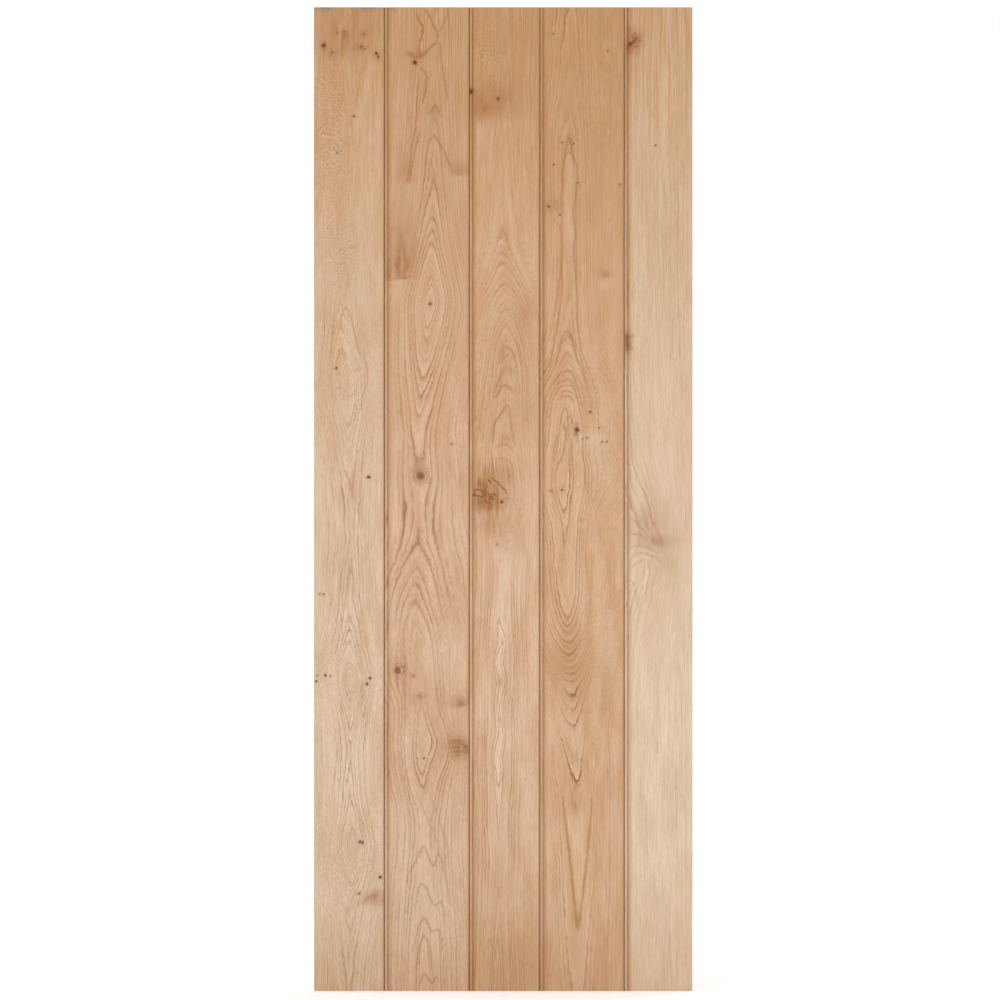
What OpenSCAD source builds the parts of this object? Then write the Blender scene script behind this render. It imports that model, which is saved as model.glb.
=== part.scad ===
// Ledged and braced door leaf in solid oak.
// Five tongue-and-groove boards with a bead on each joint make the face. Three ledges and two
// braces hold them together at the back, with screws from the back under oak pellets.
// X runs across the leaf, Y runs from the beaded face to the ledges, and Z runs up.
// The origin is at the middle of the foot of the leaf.

/* [Leaf] */
// Height of the leaf
leaf_h = 1981; // [1800:1:2150]
// Edge that takes the hinges, seen from the beaded face
hinge_side = "left"; // [left, right]

/* [Boards] */
// Face width of the left edge board
left_edge_board_w = 142; // [125:1:180]
// Face width of the left inner board
left_inner_board_w = 171; // [125:1:200]
// Face width of the centre board
centre_board_w = 142; // [125:1:200]
// Face width of the right inner board
right_inner_board_w = 170; // [125:1:200]
// Face width of the right edge board
right_edge_board_w = 137; // [125:1:180]
// Thickness of the boards
board_t = 20; // [18:0.5:26]
// Chamfer that takes off the sharp arris of a board
board_arris = 1; // [0.4:0.1:2]

/* [Board joints] */
// Gap between the shoulders of two boards, for the boards to swell
joint_gap = 0.8; // [0.4:0.1:1.5]
// Thickness of the tongue
tongue_t = 6; // [4:0.5:7]
// Length of the tongue from its shoulder
tongue_l = 7; // [5:0.5:10]
// Depth of the tongue below the face of the board
tongue_depth = 8; // [7:0.5:9]
// Clearance on each cheek of the tongue
tongue_play = 0.1; // [0.05:0.05:0.3]
// Room left past the end of the tongue
tongue_room = 1; // [0.5:0.5:3]
// Width of the bead
bead_w = 6; // [4:0.5:8]
// Width of the quirk beside the bead
quirk_w = 2.5; // [1.5:0.5:4]
// Depth of the quirk
quirk_d = 3; // [2:0.5:5]

/* [Ledges] */
// Thickness of the ledges and braces
ledge_t = 22; // [18:1:30]
// Height of the top ledge
top_ledge_h = 120; // [110:1:180]
// Height of the middle ledge
middle_ledge_h = 170; // [120:1:200]
// Height of the bottom ledge
bottom_ledge_h = 170; // [120:1:220]
// Distance from the top of the leaf down to the top ledge
top_ledge_drop = 150; // [100:1:200]
// Height of the underside of the middle ledge
middle_ledge_rise = 905; // [850:1:950]
// Height of the underside of the bottom ledge
bottom_ledge_rise = 150; // [100:1:220]
// Distance that the ledges stop short of the edges of the leaf, to clear the door stop
ledge_inset = 20; // [10:1:25]
// Chamfer on the back arrises of the ledges and braces
ledge_chamfer = 5; // [2:0.5:8]

/* [Braces] */
// Width of a brace
brace_w = 100; // [80:1:120]
// Distance from the end of a ledge to the toe of a brace
brace_setback = 45; // [38:1:70]
// Depth of the notch in a ledge that takes the toe of a brace
notch_d = 24; // [12:1:30]

/* [Fixings] */
// Diameter of a screw's shank
screw_d = 4.5; // [3.5:0.5:5]
// Diameter of a screw's head
screw_head_d = 8.5; // [7:0.5:9.5]
// Length of a screw
screw_l = 30; // [25:1:32]
// Length of a screw's point
screw_tip_l = 6; // [4:0.5:8]
// Play round a screw's shank in a ledge or brace, for the boards to move
screw_play = 0.3; // [0.1:0.1:0.6]
// Width of the blades of the cross recess in a screw's head
recess_w = 1.2; // [0.8:0.1:1.6]
// Span of the cross recess in a screw's head
recess_span = 5; // [3.5:0.5:5.5]
// Depth of the cross recess in a screw's head
recess_d = 2; // [1:0.5:2.5]
// Diameter of a pellet
pellet_d = 10; // [10:0.5:12]
// Thickness of a pellet
pellet_t = 7; // [5:0.5:8]
// Wood left between a pellet and a notch or an end
pellet_margin = 7; // [4:1:12]
// Wood left between a pellet and a board joint
joint_margin = 12; // [8:1:15]

/* [Hidden] */
$fn = 48;

// Cutters reach this far past the faces that they open
overcut = 1;

pale_oak = "#d6b78d";
warm_oak = "#cda781";
ledge_oak = "#d0ad84";
pellet_oak = "#b98f63";
screw_zinc = "#c9c3a4";

// Places of the boards, from left to right as seen from the face
board_ws = [
    left_edge_board_w, left_inner_board_w, centre_board_w, right_inner_board_w, right_edge_board_w
];
board_count = len(board_ws);
last_board = board_count - 1;
function total(list, count) = count == 0 ? 0 : list[count - 1] + total(list, count - 1);
leaf_w = total(board_ws, board_count);
function board_left(i) = total(board_ws, i) - leaf_w / 2;
function board_right(i) = board_left(i + 1);

// Depths, with the leaf centred on Y
leaf_t = board_t + ledge_t;
face_y = -leaf_t / 2;
seat_y = face_y + board_t;
back_y = seat_y + ledge_t;

// Heights of the ledges: top, middle and bottom
TOP = 0;
MIDDLE = 1;
BOTTOM = 2;
ledge_hs = [top_ledge_h, middle_ledge_h, bottom_ledge_h];
ledge_feet = [leaf_h - top_ledge_drop - top_ledge_h, middle_ledge_rise, bottom_ledge_rise];
function ledge_head(k) = ledge_feet[k] + ledge_hs[k];
ledge_reach = leaf_w / 2 - ledge_inset;

// Braces, each from the ledge below it to the ledge above it, rising away from the hinges.
// U is X counted from the hinges' side, so that one set of formulas serves both hands.
UPPER = 0;
LOWER = 1;
hand = hinge_side == "left" ? 1 : -1;
brace_feet = [ledge_head(MIDDLE), ledge_head(BOTTOM)];
brace_heads = [ledge_feet[TOP], ledge_feet[MIDDLE]];
toe_u = ledge_reach - brace_setback;
function brace_rise(b) = brace_heads[b] - brace_feet[b];
function brace_angle(b) =
    atan2(brace_rise(b), 2 * toe_u) + asin(brace_w / norm([2 * toe_u, brace_rise(b)]));

// Ends of a brace in U and Z. Each end is a tooth: a face square to the brace at the toe, and a
// long face that runs back to the heel at the other side of the brace. The outline carries both
// faces on past the sides of the brace, which its own bar gives.
tooth_spread = 1.2;
function brace_end(b, z, way) =
    let (
        angle = brace_angle(b),
        toe = [way * toe_u, z],
        deep = [way * (toe_u - notch_d * tan(angle)), z + way * notch_d],
        heel = [way * (toe_u - brace_w / sin(angle)), z]
    )
    [deep + tooth_spread * (heel - deep), deep, deep + tooth_spread * (toe - deep)];
function brace_outline(b) = concat(brace_end(b, brace_heads[b], 1), brace_end(b, brace_feet[b], -1));

// Screws, as [x, z]. A board has two on each ledge, at its quarter points and staggered in height.
screw_row_inset = notch_d + pellet_margin + pellet_d / 2;
function ledge_fixings(k, i) =
    let (
        left = max(board_left(i), -ledge_reach),
        right = min(board_right(i), ledge_reach),
        quarter = (right - left) / 4
    )
    [
        [left + quarter, ledge_head(k) - screw_row_inset],
        [right - quarter, ledge_feet[k] + screw_row_inset]
    ];

// A brace has two rows of screws, a quarter of its width in from its sides. Each row has one
// screw in each board that it crosses, in the middle of the stretch that is clear of the ends.
brace_rows = [brace_w / 4, 3 * brace_w / 4];
function brace_fixings(b, i) =
    let (
        angle = brace_angle(b),
        near = min(hand * board_left(i), hand * board_right(i)) + joint_margin + pellet_d / 2,
        far = max(hand * board_left(i), hand * board_right(i)) - joint_margin - pellet_d / 2,
        end_room = (pellet_margin + pellet_d / 2) / sin(angle)
    )
    [
        for (row = brace_rows)
            let (
                row_foot = row / sin(angle) - toe_u,
                row_head = row_foot + brace_rise(b) / tan(angle),
                start = max(near, row_foot + end_room),
                end = min(far, row_head - end_room),
                u = (start + end) / 2
            )
            if (start < end) [hand * u, brace_feet[b] + (u - row_foot) * tan(angle)]
    ];

function all_ledge_fixings(k) = [for (i = [0:last_board]) each ledge_fixings(k, i)];
function all_brace_fixings(b) = [for (i = [0:last_board]) each brace_fixings(b, i)];
function board_fixings(i) = concat(
    [for (k = [TOP:BOTTOM]) each ledge_fixings(k, i)],
    [for (b = [UPPER:LOWER]) each brace_fixings(b, i)]
);

// Stands its children at each of the places, pointing from the back into the leaf
module at_fixings(places, y) {
    for (p = places) translate([p.x, y, p.y]) rotate([-90, 0, 0]) children();
}

// Section of a board in X and Y, with the face towards -Y
module board_section(i) {
    has_tongue = i > 0;
    has_groove = i < last_board;
    left = board_left(i) + (has_tongue ? joint_gap / 2 : 0);
    right = board_right(i) - (has_groove ? joint_gap / 2 : 0);
    difference() {
        union() {
            polygon([
                [left + board_arris, face_y], [right - board_arris, face_y],
                [right, face_y + board_arris], [right, seat_y - board_arris],
                [right - board_arris, seat_y], [left + board_arris, seat_y],
                [left, seat_y - board_arris], [left, face_y + board_arris]
            ]);
            if (has_tongue)
                translate([left - tongue_l, face_y + tongue_depth])
                    square([tongue_l + overcut, tongue_t]);
        }
        if (has_groove)
            translate([right - tongue_l + joint_gap - tongue_room, face_y + tongue_depth - tongue_play])
                square([tongue_l + tongue_room + overcut, tongue_t + 2 * tongue_play]);
        if (has_tongue) {
            translate([left - overcut, face_y - overcut])
                square([bead_w + overcut, bead_w / 2 + overcut]);
            translate([left + bead_w - overcut / 2, face_y - overcut])
                square([quirk_w + overcut / 2, quirk_d + overcut]);
        }
    }
    if (has_tongue) translate([left + bead_w / 2, face_y + bead_w / 2]) circle(d = bead_w);
}

module board(i) {
    difference() {
        linear_extrude(leaf_h) board_section(i);
        at_fixings(board_fixings(i), back_y - pellet_t) screw_body();
    }
}

module left_edge_board() { color(pale_oak) board(0); }
module left_inner_board() { color(warm_oak) board(1); }
module centre_board() { color(warm_oak) board(2); }
module right_inner_board() { color(warm_oak) board(3); }
module right_edge_board() { color(pale_oak) board(4); }

// Section of a ledge or brace in Y and its own width, with both back arrises chamfered
module chamfered_section(low, high) {
    polygon([
        [seat_y, low], [back_y - ledge_chamfer, low], [back_y, low + ledge_chamfer],
        [back_y, high - ledge_chamfer], [back_y - ledge_chamfer, high], [seat_y, high]
    ]);
}

// Turns a section in Y and Z into a bar along X
module bar_along_x(from, to) {
    translate([from, 0, 0]) rotate([90, 0, 90]) linear_extrude(to - from) children();
}

// Bar with all four back arrises chamfered: the long ones by its section, the ends by its plan
module ledge_bar(k) {
    intersection() {
        bar_along_x(-ledge_reach, ledge_reach) chamfered_section(ledge_feet[k], ledge_head(k));
        translate([0, 0, ledge_feet[k]]) linear_extrude(ledge_hs[k])
            mirror([1, -1]) chamfered_section(-ledge_reach, ledge_reach);
    }
}

// Prism of a brace's outline, between two depths
module brace_prism(b, from_y, to_y) {
    translate([0, to_y, 0]) rotate([90, 0, 0]) linear_extrude(to_y - from_y)
        polygon([for (p = brace_outline(b)) [hand * p.x, p.y]]);
}

module ledge(k) {
    difference() {
        ledge_bar(k);
        for (b = [UPPER:LOWER]) brace_prism(b, seat_y - overcut, back_y + overcut);
        at_fixings(all_ledge_fixings(k), back_y) fixing_hole();
    }
}

module top_ledge() { color(ledge_oak) ledge(TOP); }
module middle_ledge() { color(ledge_oak) ledge(MIDDLE); }
module bottom_ledge() { color(ledge_oak) ledge(BOTTOM); }

// The outline cuts the ends, and a chamfered bar gives the long sides
module brace(b) {
    angle = brace_angle(b);
    reach = norm([toe_u, brace_rise(b)]) + notch_d;
    difference() {
        intersection() {
            brace_prism(b, seat_y, back_y);
            translate([0, 0, (brace_feet[b] + brace_heads[b]) / 2]) rotate([0, -hand * angle, 0])
                bar_along_x(-reach, reach) chamfered_section(-brace_w / 2, brace_w / 2);
        }
        at_fixings(all_brace_fixings(b), back_y) fixing_hole();
    }
}

module upper_brace() { color(ledge_oak) brace(UPPER); }
module lower_brace() { color(ledge_oak) brace(LOWER); }

// Countersunk wood screw along Z, with the top of its head at the origin and its point below
module screw_body() {
    head_h = (screw_head_d - screw_d) / 2;
    rotate_extrude() polygon([
        [0, 0], [screw_head_d / 2, 0], [screw_d / 2, -head_h],
        [screw_d / 2, screw_tip_l - screw_l], [0, -screw_l]
    ]);
}

module screw() {
    difference() {
        screw_body();
        for (turn = [0, 90]) rotate([0, 0, turn])
            translate([-recess_span / 2, -recess_w / 2, -recess_d])
                cube([recess_span, recess_w, recess_d + overcut]);
    }
}

// Counterbore for a pellet, countersink for a screw's head and clearance hole for its shank
module fixing_hole() {
    clear_r = screw_d / 2 + screw_play;
    sink_h = screw_head_d / 2 - clear_r;
    rotate_extrude() polygon([
        [0, overcut], [pellet_d / 2, overcut], [pellet_d / 2, -pellet_t],
        [screw_head_d / 2, -pellet_t], [clear_r, -pellet_t - sink_h],
        [clear_r, -ledge_t - overcut], [0, -ledge_t - overcut]
    ]);
}

module screws(places) { color(screw_zinc) at_fixings(places, back_y - pellet_t) screw(); }

module top_ledge_screws() { screws(all_ledge_fixings(TOP)); }
module middle_ledge_screws() { screws(all_ledge_fixings(MIDDLE)); }
module bottom_ledge_screws() { screws(all_ledge_fixings(BOTTOM)); }
module upper_brace_screws() { screws(all_brace_fixings(UPPER)); }
module lower_brace_screws() { screws(all_brace_fixings(LOWER)); }

// Oak plugs over the screws, flush with the back of what they are let into
module pellets(places) {
    color(pellet_oak) at_fixings(places, back_y - pellet_t) cylinder(d = pellet_d, h = pellet_t);
}

module top_ledge_pellets() { pellets(all_ledge_fixings(TOP)); }
module middle_ledge_pellets() { pellets(all_ledge_fixings(MIDDLE)); }
module bottom_ledge_pellets() { pellets(all_ledge_fixings(BOTTOM)); }
module upper_brace_pellets() { pellets(all_brace_fixings(UPPER)); }
module lower_brace_pellets() { pellets(all_brace_fixings(LOWER)); }

left_edge_board();
left_inner_board();
centre_board();
right_inner_board();
right_edge_board();
top_ledge();
middle_ledge();
bottom_ledge();
upper_brace();
lower_brace();
top_ledge_screws();
middle_ledge_screws();
bottom_ledge_screws();
upper_brace_screws();
lower_brace_screws();
top_ledge_pellets();
middle_ledge_pellets();
bottom_ledge_pellets();
upper_brace_pellets();
lower_brace_pellets();
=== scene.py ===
# %% [markdown]
# # A ledged and braced oak door
# The leaf has five tongue-and-groove boards with a bead on each joint. Three ledges and two braces
# hold the boards at the back, with screws under oak pellets.
# The solid model comes first, as a fixed frame in metres: X runs across the leaf, Y from the beaded
# face to the ledges, and Z up. Everything below is placed by that frame.

# %% Load the frame
import math
from functools import partial

import bmesh
import bpy
import numpy as np
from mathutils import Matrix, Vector


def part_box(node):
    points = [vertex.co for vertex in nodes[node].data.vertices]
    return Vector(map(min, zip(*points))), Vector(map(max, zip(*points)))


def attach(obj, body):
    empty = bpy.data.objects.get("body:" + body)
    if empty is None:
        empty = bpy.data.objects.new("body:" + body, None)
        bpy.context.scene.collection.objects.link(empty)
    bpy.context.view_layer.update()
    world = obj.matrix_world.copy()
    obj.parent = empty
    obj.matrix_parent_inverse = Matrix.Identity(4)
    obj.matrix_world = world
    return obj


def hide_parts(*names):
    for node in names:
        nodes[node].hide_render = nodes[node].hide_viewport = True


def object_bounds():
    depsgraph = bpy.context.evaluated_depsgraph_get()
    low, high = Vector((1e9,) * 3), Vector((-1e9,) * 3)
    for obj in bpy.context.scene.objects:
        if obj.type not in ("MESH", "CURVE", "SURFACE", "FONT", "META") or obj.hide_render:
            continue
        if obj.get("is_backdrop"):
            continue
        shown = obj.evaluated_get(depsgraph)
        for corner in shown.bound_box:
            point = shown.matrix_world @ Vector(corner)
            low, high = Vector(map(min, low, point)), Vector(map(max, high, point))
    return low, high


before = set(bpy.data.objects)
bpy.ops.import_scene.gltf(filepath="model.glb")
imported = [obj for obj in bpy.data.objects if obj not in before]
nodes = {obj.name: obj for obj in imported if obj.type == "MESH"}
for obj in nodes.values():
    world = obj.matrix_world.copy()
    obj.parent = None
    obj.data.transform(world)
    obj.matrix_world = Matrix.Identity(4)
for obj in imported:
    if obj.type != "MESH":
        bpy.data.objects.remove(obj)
cad_low, cad_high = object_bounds()
MM = 0.001
leaf_w = cad_high.x - cad_low.x
leaf_h = cad_high.z - cad_low.z
face_y = cad_low.y
scene = bpy.context.scene
print(f"{len(nodes)} nodes, leaf {leaf_w / MM:.0f} by {leaf_h / MM:.0f} mm")

# %% [markdown]
# ## Camera
# The photograph looks at the middle of the face, square on, and shows no perspective. An orthographic
# camera could do that, but a long lens from far away looks the same and still turns well in other
# views. The lens follows from the stretch of the door's plane that the frame takes in.

# %% Camera
VIEW_SIDE = 2.0135      # metres of the face's plane that the square frame takes in
VIEW_AWAY = 14.0        # metres from the camera to the face
VIEW_END = 100.0        # metres to the farthest thing that the camera sees
LEAF_RIGHT = 0.0064     # metres that the leaf stands right of the frame's middle
LEAF_ABOVE = 0.0016     # metres that the leaf stands above it
SENSOR = 36.0           # millimetres

lens = bpy.data.cameras.new("camera")
lens.sensor_width = SENSOR
lens.lens = SENSOR * VIEW_AWAY / VIEW_SIDE
lens.clip_end = VIEW_END
camera = bpy.data.objects.new("camera", lens)
camera.location = (-LEAF_RIGHT, face_y - VIEW_AWAY, leaf_h / 2 - LEAF_ABOVE)
camera.rotation_euler = (math.radians(90), 0, 0)
scene.collection.objects.link(camera)
scene.camera = camera
print(f"lens {lens.lens:.0f} mm at {VIEW_AWAY:.0f} m")

# %% [markdown]
# ## Adding nodes
# A material or a geometry tree is a graph of nodes. One small function adds a node, sets it up and
# links it, so that the code below reads as a list of steps. It returns a socket, which can go
# straight into the next node.

# %% One function for all nodes
MATHS = "ShaderNodeMath"
VECTORS = "ShaderNodeVectorMath"
RANGE = "ShaderNodeMapRange"
MIX = "ShaderNodeMix"
MIX_SHARE, MIX_A, MIX_B, MIX_OUT = 0, 6, 7, 2   # sockets of a Mix node that blends colours


def add(tree, kind, inputs=(), out=0, **settings):
    """Adds a node and returns one of its outputs. Inputs are values or sockets, in a list or by name."""
    node = tree.nodes.new(kind)
    for name, value in settings.items():
        setattr(node, name, value)
    places = inputs.items() if isinstance(inputs, dict) else enumerate(inputs)
    for place, value in places:
        if isinstance(value, bpy.types.NodeSocket):
            tree.links.new(value, node.inputs[place])
        elif value is not None:
            node.inputs[place].default_value = value
    return node.outputs[out] if len(node.outputs) else None


def linear(hex_colour):
    """Turns an sRGB hex colour into the linear colour that sockets take."""
    parts = [int(hex_colour[i:i + 2], 16) / 255 for i in (1, 3, 5)]
    return (*(p / 12.92 if p <= 0.04045 else ((p + 0.055) / 1.055) ** 2.4 for p in parts), 1.0)


print(f"sRGB #808080 is {linear('#808080')[0]:.3f} in linear light")

# %% [markdown]
# ## Light and floor
# The photograph has flat, soft light from the front, as in a white studio. A bright even world gives
# that, and two large lamps, one before the leaf and one behind it, give the beads and chamfers a soft
# side. Together they light the face so that a colour renders as it is written.
# The world and the floor show the camera plain white. The floor still takes the leaf's shadow.

# %% World
WORLD_LEVEL = 0.72
WHITE = linear("#ffffff")

scene.view_settings.view_transform = "Standard"
world = bpy.data.worlds.new("white_studio")
world.use_nodes = True
sky = world.node_tree
sky.nodes.clear()
rays = add(sky, "ShaderNodeLightPath").node.outputs
seen = rays["Is Camera Ray"]
for ray in ("Is Glossy Ray", "Is Transmission Ray"):
    seen = add(sky, MATHS, [seen, rays[ray]], operation="MAXIMUM")
level = add(sky, RANGE, {"Value": seen, "To Min": WORLD_LEVEL, "To Max": 1.0})
add(sky, "ShaderNodeOutputWorld", [add(sky, "ShaderNodeBackground", [WHITE, level])])
scene.world = world
print(f"world lights with {WORLD_LEVEL} of white")

# %% Lamps
LAMPS = [
    # name, place in metres, size in metres, watts
    ("front_lamp", (-1.6, -3.4, 2.5), 2.2, 62.0),
    ("back_lamp", (1.8, 3.4, 2.4), 2.2, 62.0),
]
leaf_middle = Vector((0, 0, leaf_h / 2))
for name, place, size, watts in LAMPS:
    light = bpy.data.lights.new(name, "AREA")
    light.size = size
    light.energy = watts
    lamp = bpy.data.objects.new(name, light)
    lamp.location = place
    lamp.rotation_euler = (leaf_middle - lamp.location).to_track_quat("-Z", "Y").to_euler()
    scene.collection.objects.link(lamp)
    print(f"{name} {(leaf_middle - lamp.location).length:.1f} m from the leaf")

# %% Floor
FLOOR_SIDE = 5.0        # metres
FLOOR_LIFT = 0.25       # extra brightness that the camera sees, so that only shadow is grey
FLOOR_PAINT = linear("#efefef")     # matt, so it shows soft shadow and no shine


def bare_material(name):
    """A material with an empty node tree."""
    material = bpy.data.materials.new(name)
    material.use_nodes = True
    material.node_tree.nodes.clear()
    return material


paint = bare_material("white_floor_paint")
tree = paint.node_tree
matt = add(tree, "ShaderNodeBsdfDiffuse", {"Color": FLOOR_PAINT})
ray = add(tree, "ShaderNodeLightPath", out="Is Camera Ray")
lift = add(tree, MATHS, [ray, FLOOR_LIFT], operation="MULTIPLY")
lit = add(tree, "ShaderNodeEmission", [WHITE, lift])
add(tree, "ShaderNodeOutputMaterial", [add(tree, "ShaderNodeAddShader", [matt, lit])])

half = FLOOR_SIDE / 2
corners = [(-half, -half, 0), (half, -half, 0), (half, half, 0), (-half, half, 0)]
floor_mesh = bpy.data.meshes.new("floor")
floor_mesh.from_pydata(corners, [], [(0, 1, 2, 3)])
floor_mesh.materials.append(paint)
floor = bpy.data.objects.new("floor", floor_mesh)
scene.collection.objects.link(floor)
floor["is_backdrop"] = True
print(f"floor {FLOOR_SIDE:.0f} m square")

# %% [markdown]
# ## Oak
# Sanded oak, bare of any finish. What the eye sees is growth rings cut by a saw: each year starts with
# a dark line of open pores and goes on in paler wood. Where the saw runs along the rings they spread
# into arches and eyes. Fibres, short pores and soft blotches lie over that.
# Wood could be stripes bent by noise, but then every board looks alike. Here each point is told where
# it grew in the tree: how far across and how deep from the heart, and how high. The rings then run
# round the heart, a little more pointed than circles, and the arches, edges and end grain all come
# out of one rule.
# The steps below take `new`, the node function with the material's tree already filled in.

# %% Patterns that follow the grain
# Lumps of each pattern across the grain and along it, in millimetres
GRAIN_MM = {
    "fibre": (1.7, 60.0),       # real fibres are finer, but would not show
    "pore": (1.1, 12.0),        # the same holds for pores
    "streak": (5.0, 230.0),
    "blotch": (30.0, 120.0),
    "ripple": (9.0, 26.0),
    "teeth": (2.2, 50.0),
    "fade": (26.0, 130.0),
    "wave": (16.0, 28.0),
    "curly": (22.0, 30.0),
}
NOISE_SPAN = (0.3, 0.7)         # noise seldom leaves this span


def grain(new, vector, size_mm, detail=1.0, out="Fac"):
    """Noise with lumps of one size in millimetres, across the grain and along it."""
    across, along = size_mm
    scaled = new(VECTORS, [vector, (1 / across, 1 / across, 1 / along)], operation="MULTIPLY")
    return new("ShaderNodeTexNoise", {"Vector": scaled, "Scale": 1.0, "Detail": detail}, out=out)


print("patterns:", ", ".join(GRAIN_MM))

# %% Where a point grew
NOISE_MEAN = (0.5, 0.5, 0.5)
RIPPLE_SHIFT = (4.6, 3.0, 0.0)  # millimetres across and in depth


def grown_places(new, spot, grown_at, wander_mm, reach_mm):
    """Places of growth in a trunk that wanders, first without its small ripples and then with them."""
    if grown_at is None:
        place = new("ShaderNodeAttribute", out="Vector", attribute_name="grown_at")
    else:
        location, turn = grown_at
        place = new("ShaderNodeMapping", [spot, location, (0.0, turn, 0.0)])
    places = []
    wander = ((reach_mm / 4, reach_mm), (wander_mm, wander_mm, 0.0))
    for size_mm, shift in (wander, (GRAIN_MM["ripple"], RIPPLE_SHIFT)):
        sway = new(VECTORS, [grain(new, place, size_mm, out="Color"), NOISE_MEAN], operation="SUBTRACT")
        place = new(VECTORS, [sway, shift, place], operation="MULTIPLY_ADD")
        places.append(place)
    return places


print("ripples shift the grain by up to", RIPPLE_SHIFT[0] / 2, "mm")

# %% Rings from the heart
UNEVEN_STEP = 0.7       # changes in the width of the rings, for each ring
UNEVEN_RINGS = 1.1      # most that a ring is off its even place, in rings


def ring_count(new, place, bent, ring_mm, point, teeth_mm):
    """How many rings a point is from the heart, and how far across from it in millimetres."""
    across, deep, _ = new("ShaderNodeSeparateXYZ", [bent]).node.outputs
    # Fibres end unevenly, so a ring that meets the face at a low angle is toothed
    teeth = new(MATHS, [grain(new, place, GRAIN_MM["teeth"]), 0.5], operation="SUBTRACT")
    deep = new(MATHS, [teeth, teeth_mm, deep], operation="MULTIPLY_ADD")
    across, deep = (new(MATHS, [way], operation="ABSOLUTE") for way in (across, deep))
    powers = [new(MATHS, [way, point], operation="POWER") for way in (across, deep)]
    radius = new(MATHS, [new(MATHS, powers, operation="ADD"), 1 / point], operation="POWER")
    count = new(MATHS, [radius, ring_mm], operation="DIVIDE")
    uneven = new("ShaderNodeTexNoise", {"W": count, "Scale": UNEVEN_STEP, "Detail": 0.0},
                 noise_dimensions="1D")
    return new(MATHS, [uneven, UNEVEN_RINGS, count], operation="MULTIPLY_ADD"), across


print("rings are off by up to", UNEVEN_RINGS, "of their width")

# %% Dark starts and pale ends of the rings
RING_START = [(0.06, 1.0), (0.3, 0.15), (0.7, 0.0)]    # place in a ring, and how dark its pores make it
RING_END = [(0.5, 0.0), (0.88, 1.0)]                   # place in a ring, and how pale its late wood is
RING_REST = 0.2         # darkness where two rings meet
ASIDE_MM = (16.0, 70.0)         # from the heart: the lines weaken between the two


def ring_lines(new, spot, count, across, tint, aside):
    """Shares of the dark start and the pale end of the rings."""
    part = new(MATHS, [count], operation="FRACT")
    shares = []
    for rest, stops in ((RING_REST, RING_START), (0.0, RING_END)):
        ramp = new("ShaderNodeValToRGB", [part])
        elements = ramp.node.color_ramp.elements
        elements[0].color = elements[1].color = (rest, rest, rest, 1.0)
        for at, level in stops:
            elements.new(at).color = (level, level, level, 1.0)
        shares.append(ramp)
    year = new(MATHS, [count], operation="FLOOR")
    vigour = new("ShaderNodeTexWhiteNoise", {"W": year}, noise_dimensions="1D")
    vigour = new(RANGE, [vigour, 0.0, 1.0, 0.1, 1.1])
    shares[0] = new(MATHS, [shares[0], vigour], operation="MULTIPLY")
    # The lines are fainter in places, in curly wood, and where a board is said to be calm
    strength = new(RANGE, [across, *ASIDE_MM, 1.0, aside])
    figure = new(MATHS, [tint["bold"], tint["calm"]], operation="SUBTRACT")
    for weight in (
        new(RANGE, [tint["curl"], 0.0, 0.5, 1.0, 0.0]),
        new(RANGE, [figure, -1.0, 1.0, 0.0, 2.0]),
        new(RANGE, [grain(new, spot, GRAIN_MM["fade"]), 0.36, 0.62, 0.4, 1.0]),
    ):
        strength = new(MATHS, [strength, weight], operation="MULTIPLY")
    return [new(MATHS, [share, strength], operation="MULTIPLY") for share in shares]


print(f"a ring is darkest {RING_START[0][0]:.0%} after its start")

# %% Curls
CURL_STEP = 9.0         # millimetres from one curl to the next
CURL_BEND = 5.4         # most that noise moves a curl, in curls
CURL_DARK = 0.42
CURL_PALE = 0.38


def curls(new, place, bent, curl):
    """Shares of the dark and pale sides of the fine ripples that lie across curly wood."""
    up = new("ShaderNodeSeparateXYZ", [bent], out="Z")
    steps = new(MATHS, [up, CURL_STEP], operation="DIVIDE")
    bend = grain(new, place, GRAIN_MM["wave"], detail=1.5)
    wave = new(MATHS, [bend, CURL_BEND, steps], operation="MULTIPLY_ADD")
    wave = new(MATHS, [wave], operation="FRACT")
    patchy = new(RANGE, [grain(new, place, GRAIN_MM["curly"]), 0.38, 0.56, 0.35, 1.0])
    curly = new(MATHS, [new(RANGE, [curl, 0.05, 0.7]), patchy], operation="MULTIPLY")
    sides = (new(RANGE, [wave, 0.0, 0.5, CURL_DARK, 0.0]), new(RANGE, [wave, 0.6, 1.0, 0.0, CURL_PALE]))
    return [new(MATHS, [side, curly], operation="MULTIPLY") for side in sides]


print("curls", CURL_STEP, "mm apart")

# %% Colour of oak
LATE_SHARE = 0.4
PORE_SHARE = 0.4
END_SHARE = 0.35
FIBRE_SWING = 0.1       # part by which fibres lighten and darken the colour
STREAK_SWING = 0.05


def lay_tones(new, colour, layers):
    """Lays tones over a colour one after another, each by its share."""
    for share, tone in layers:
        colour = new(MIX, {MIX_SHARE: share, MIX_A: colour, MIX_B: tone}, out=MIX_OUT, data_type="RGBA")
    return colour


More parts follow.
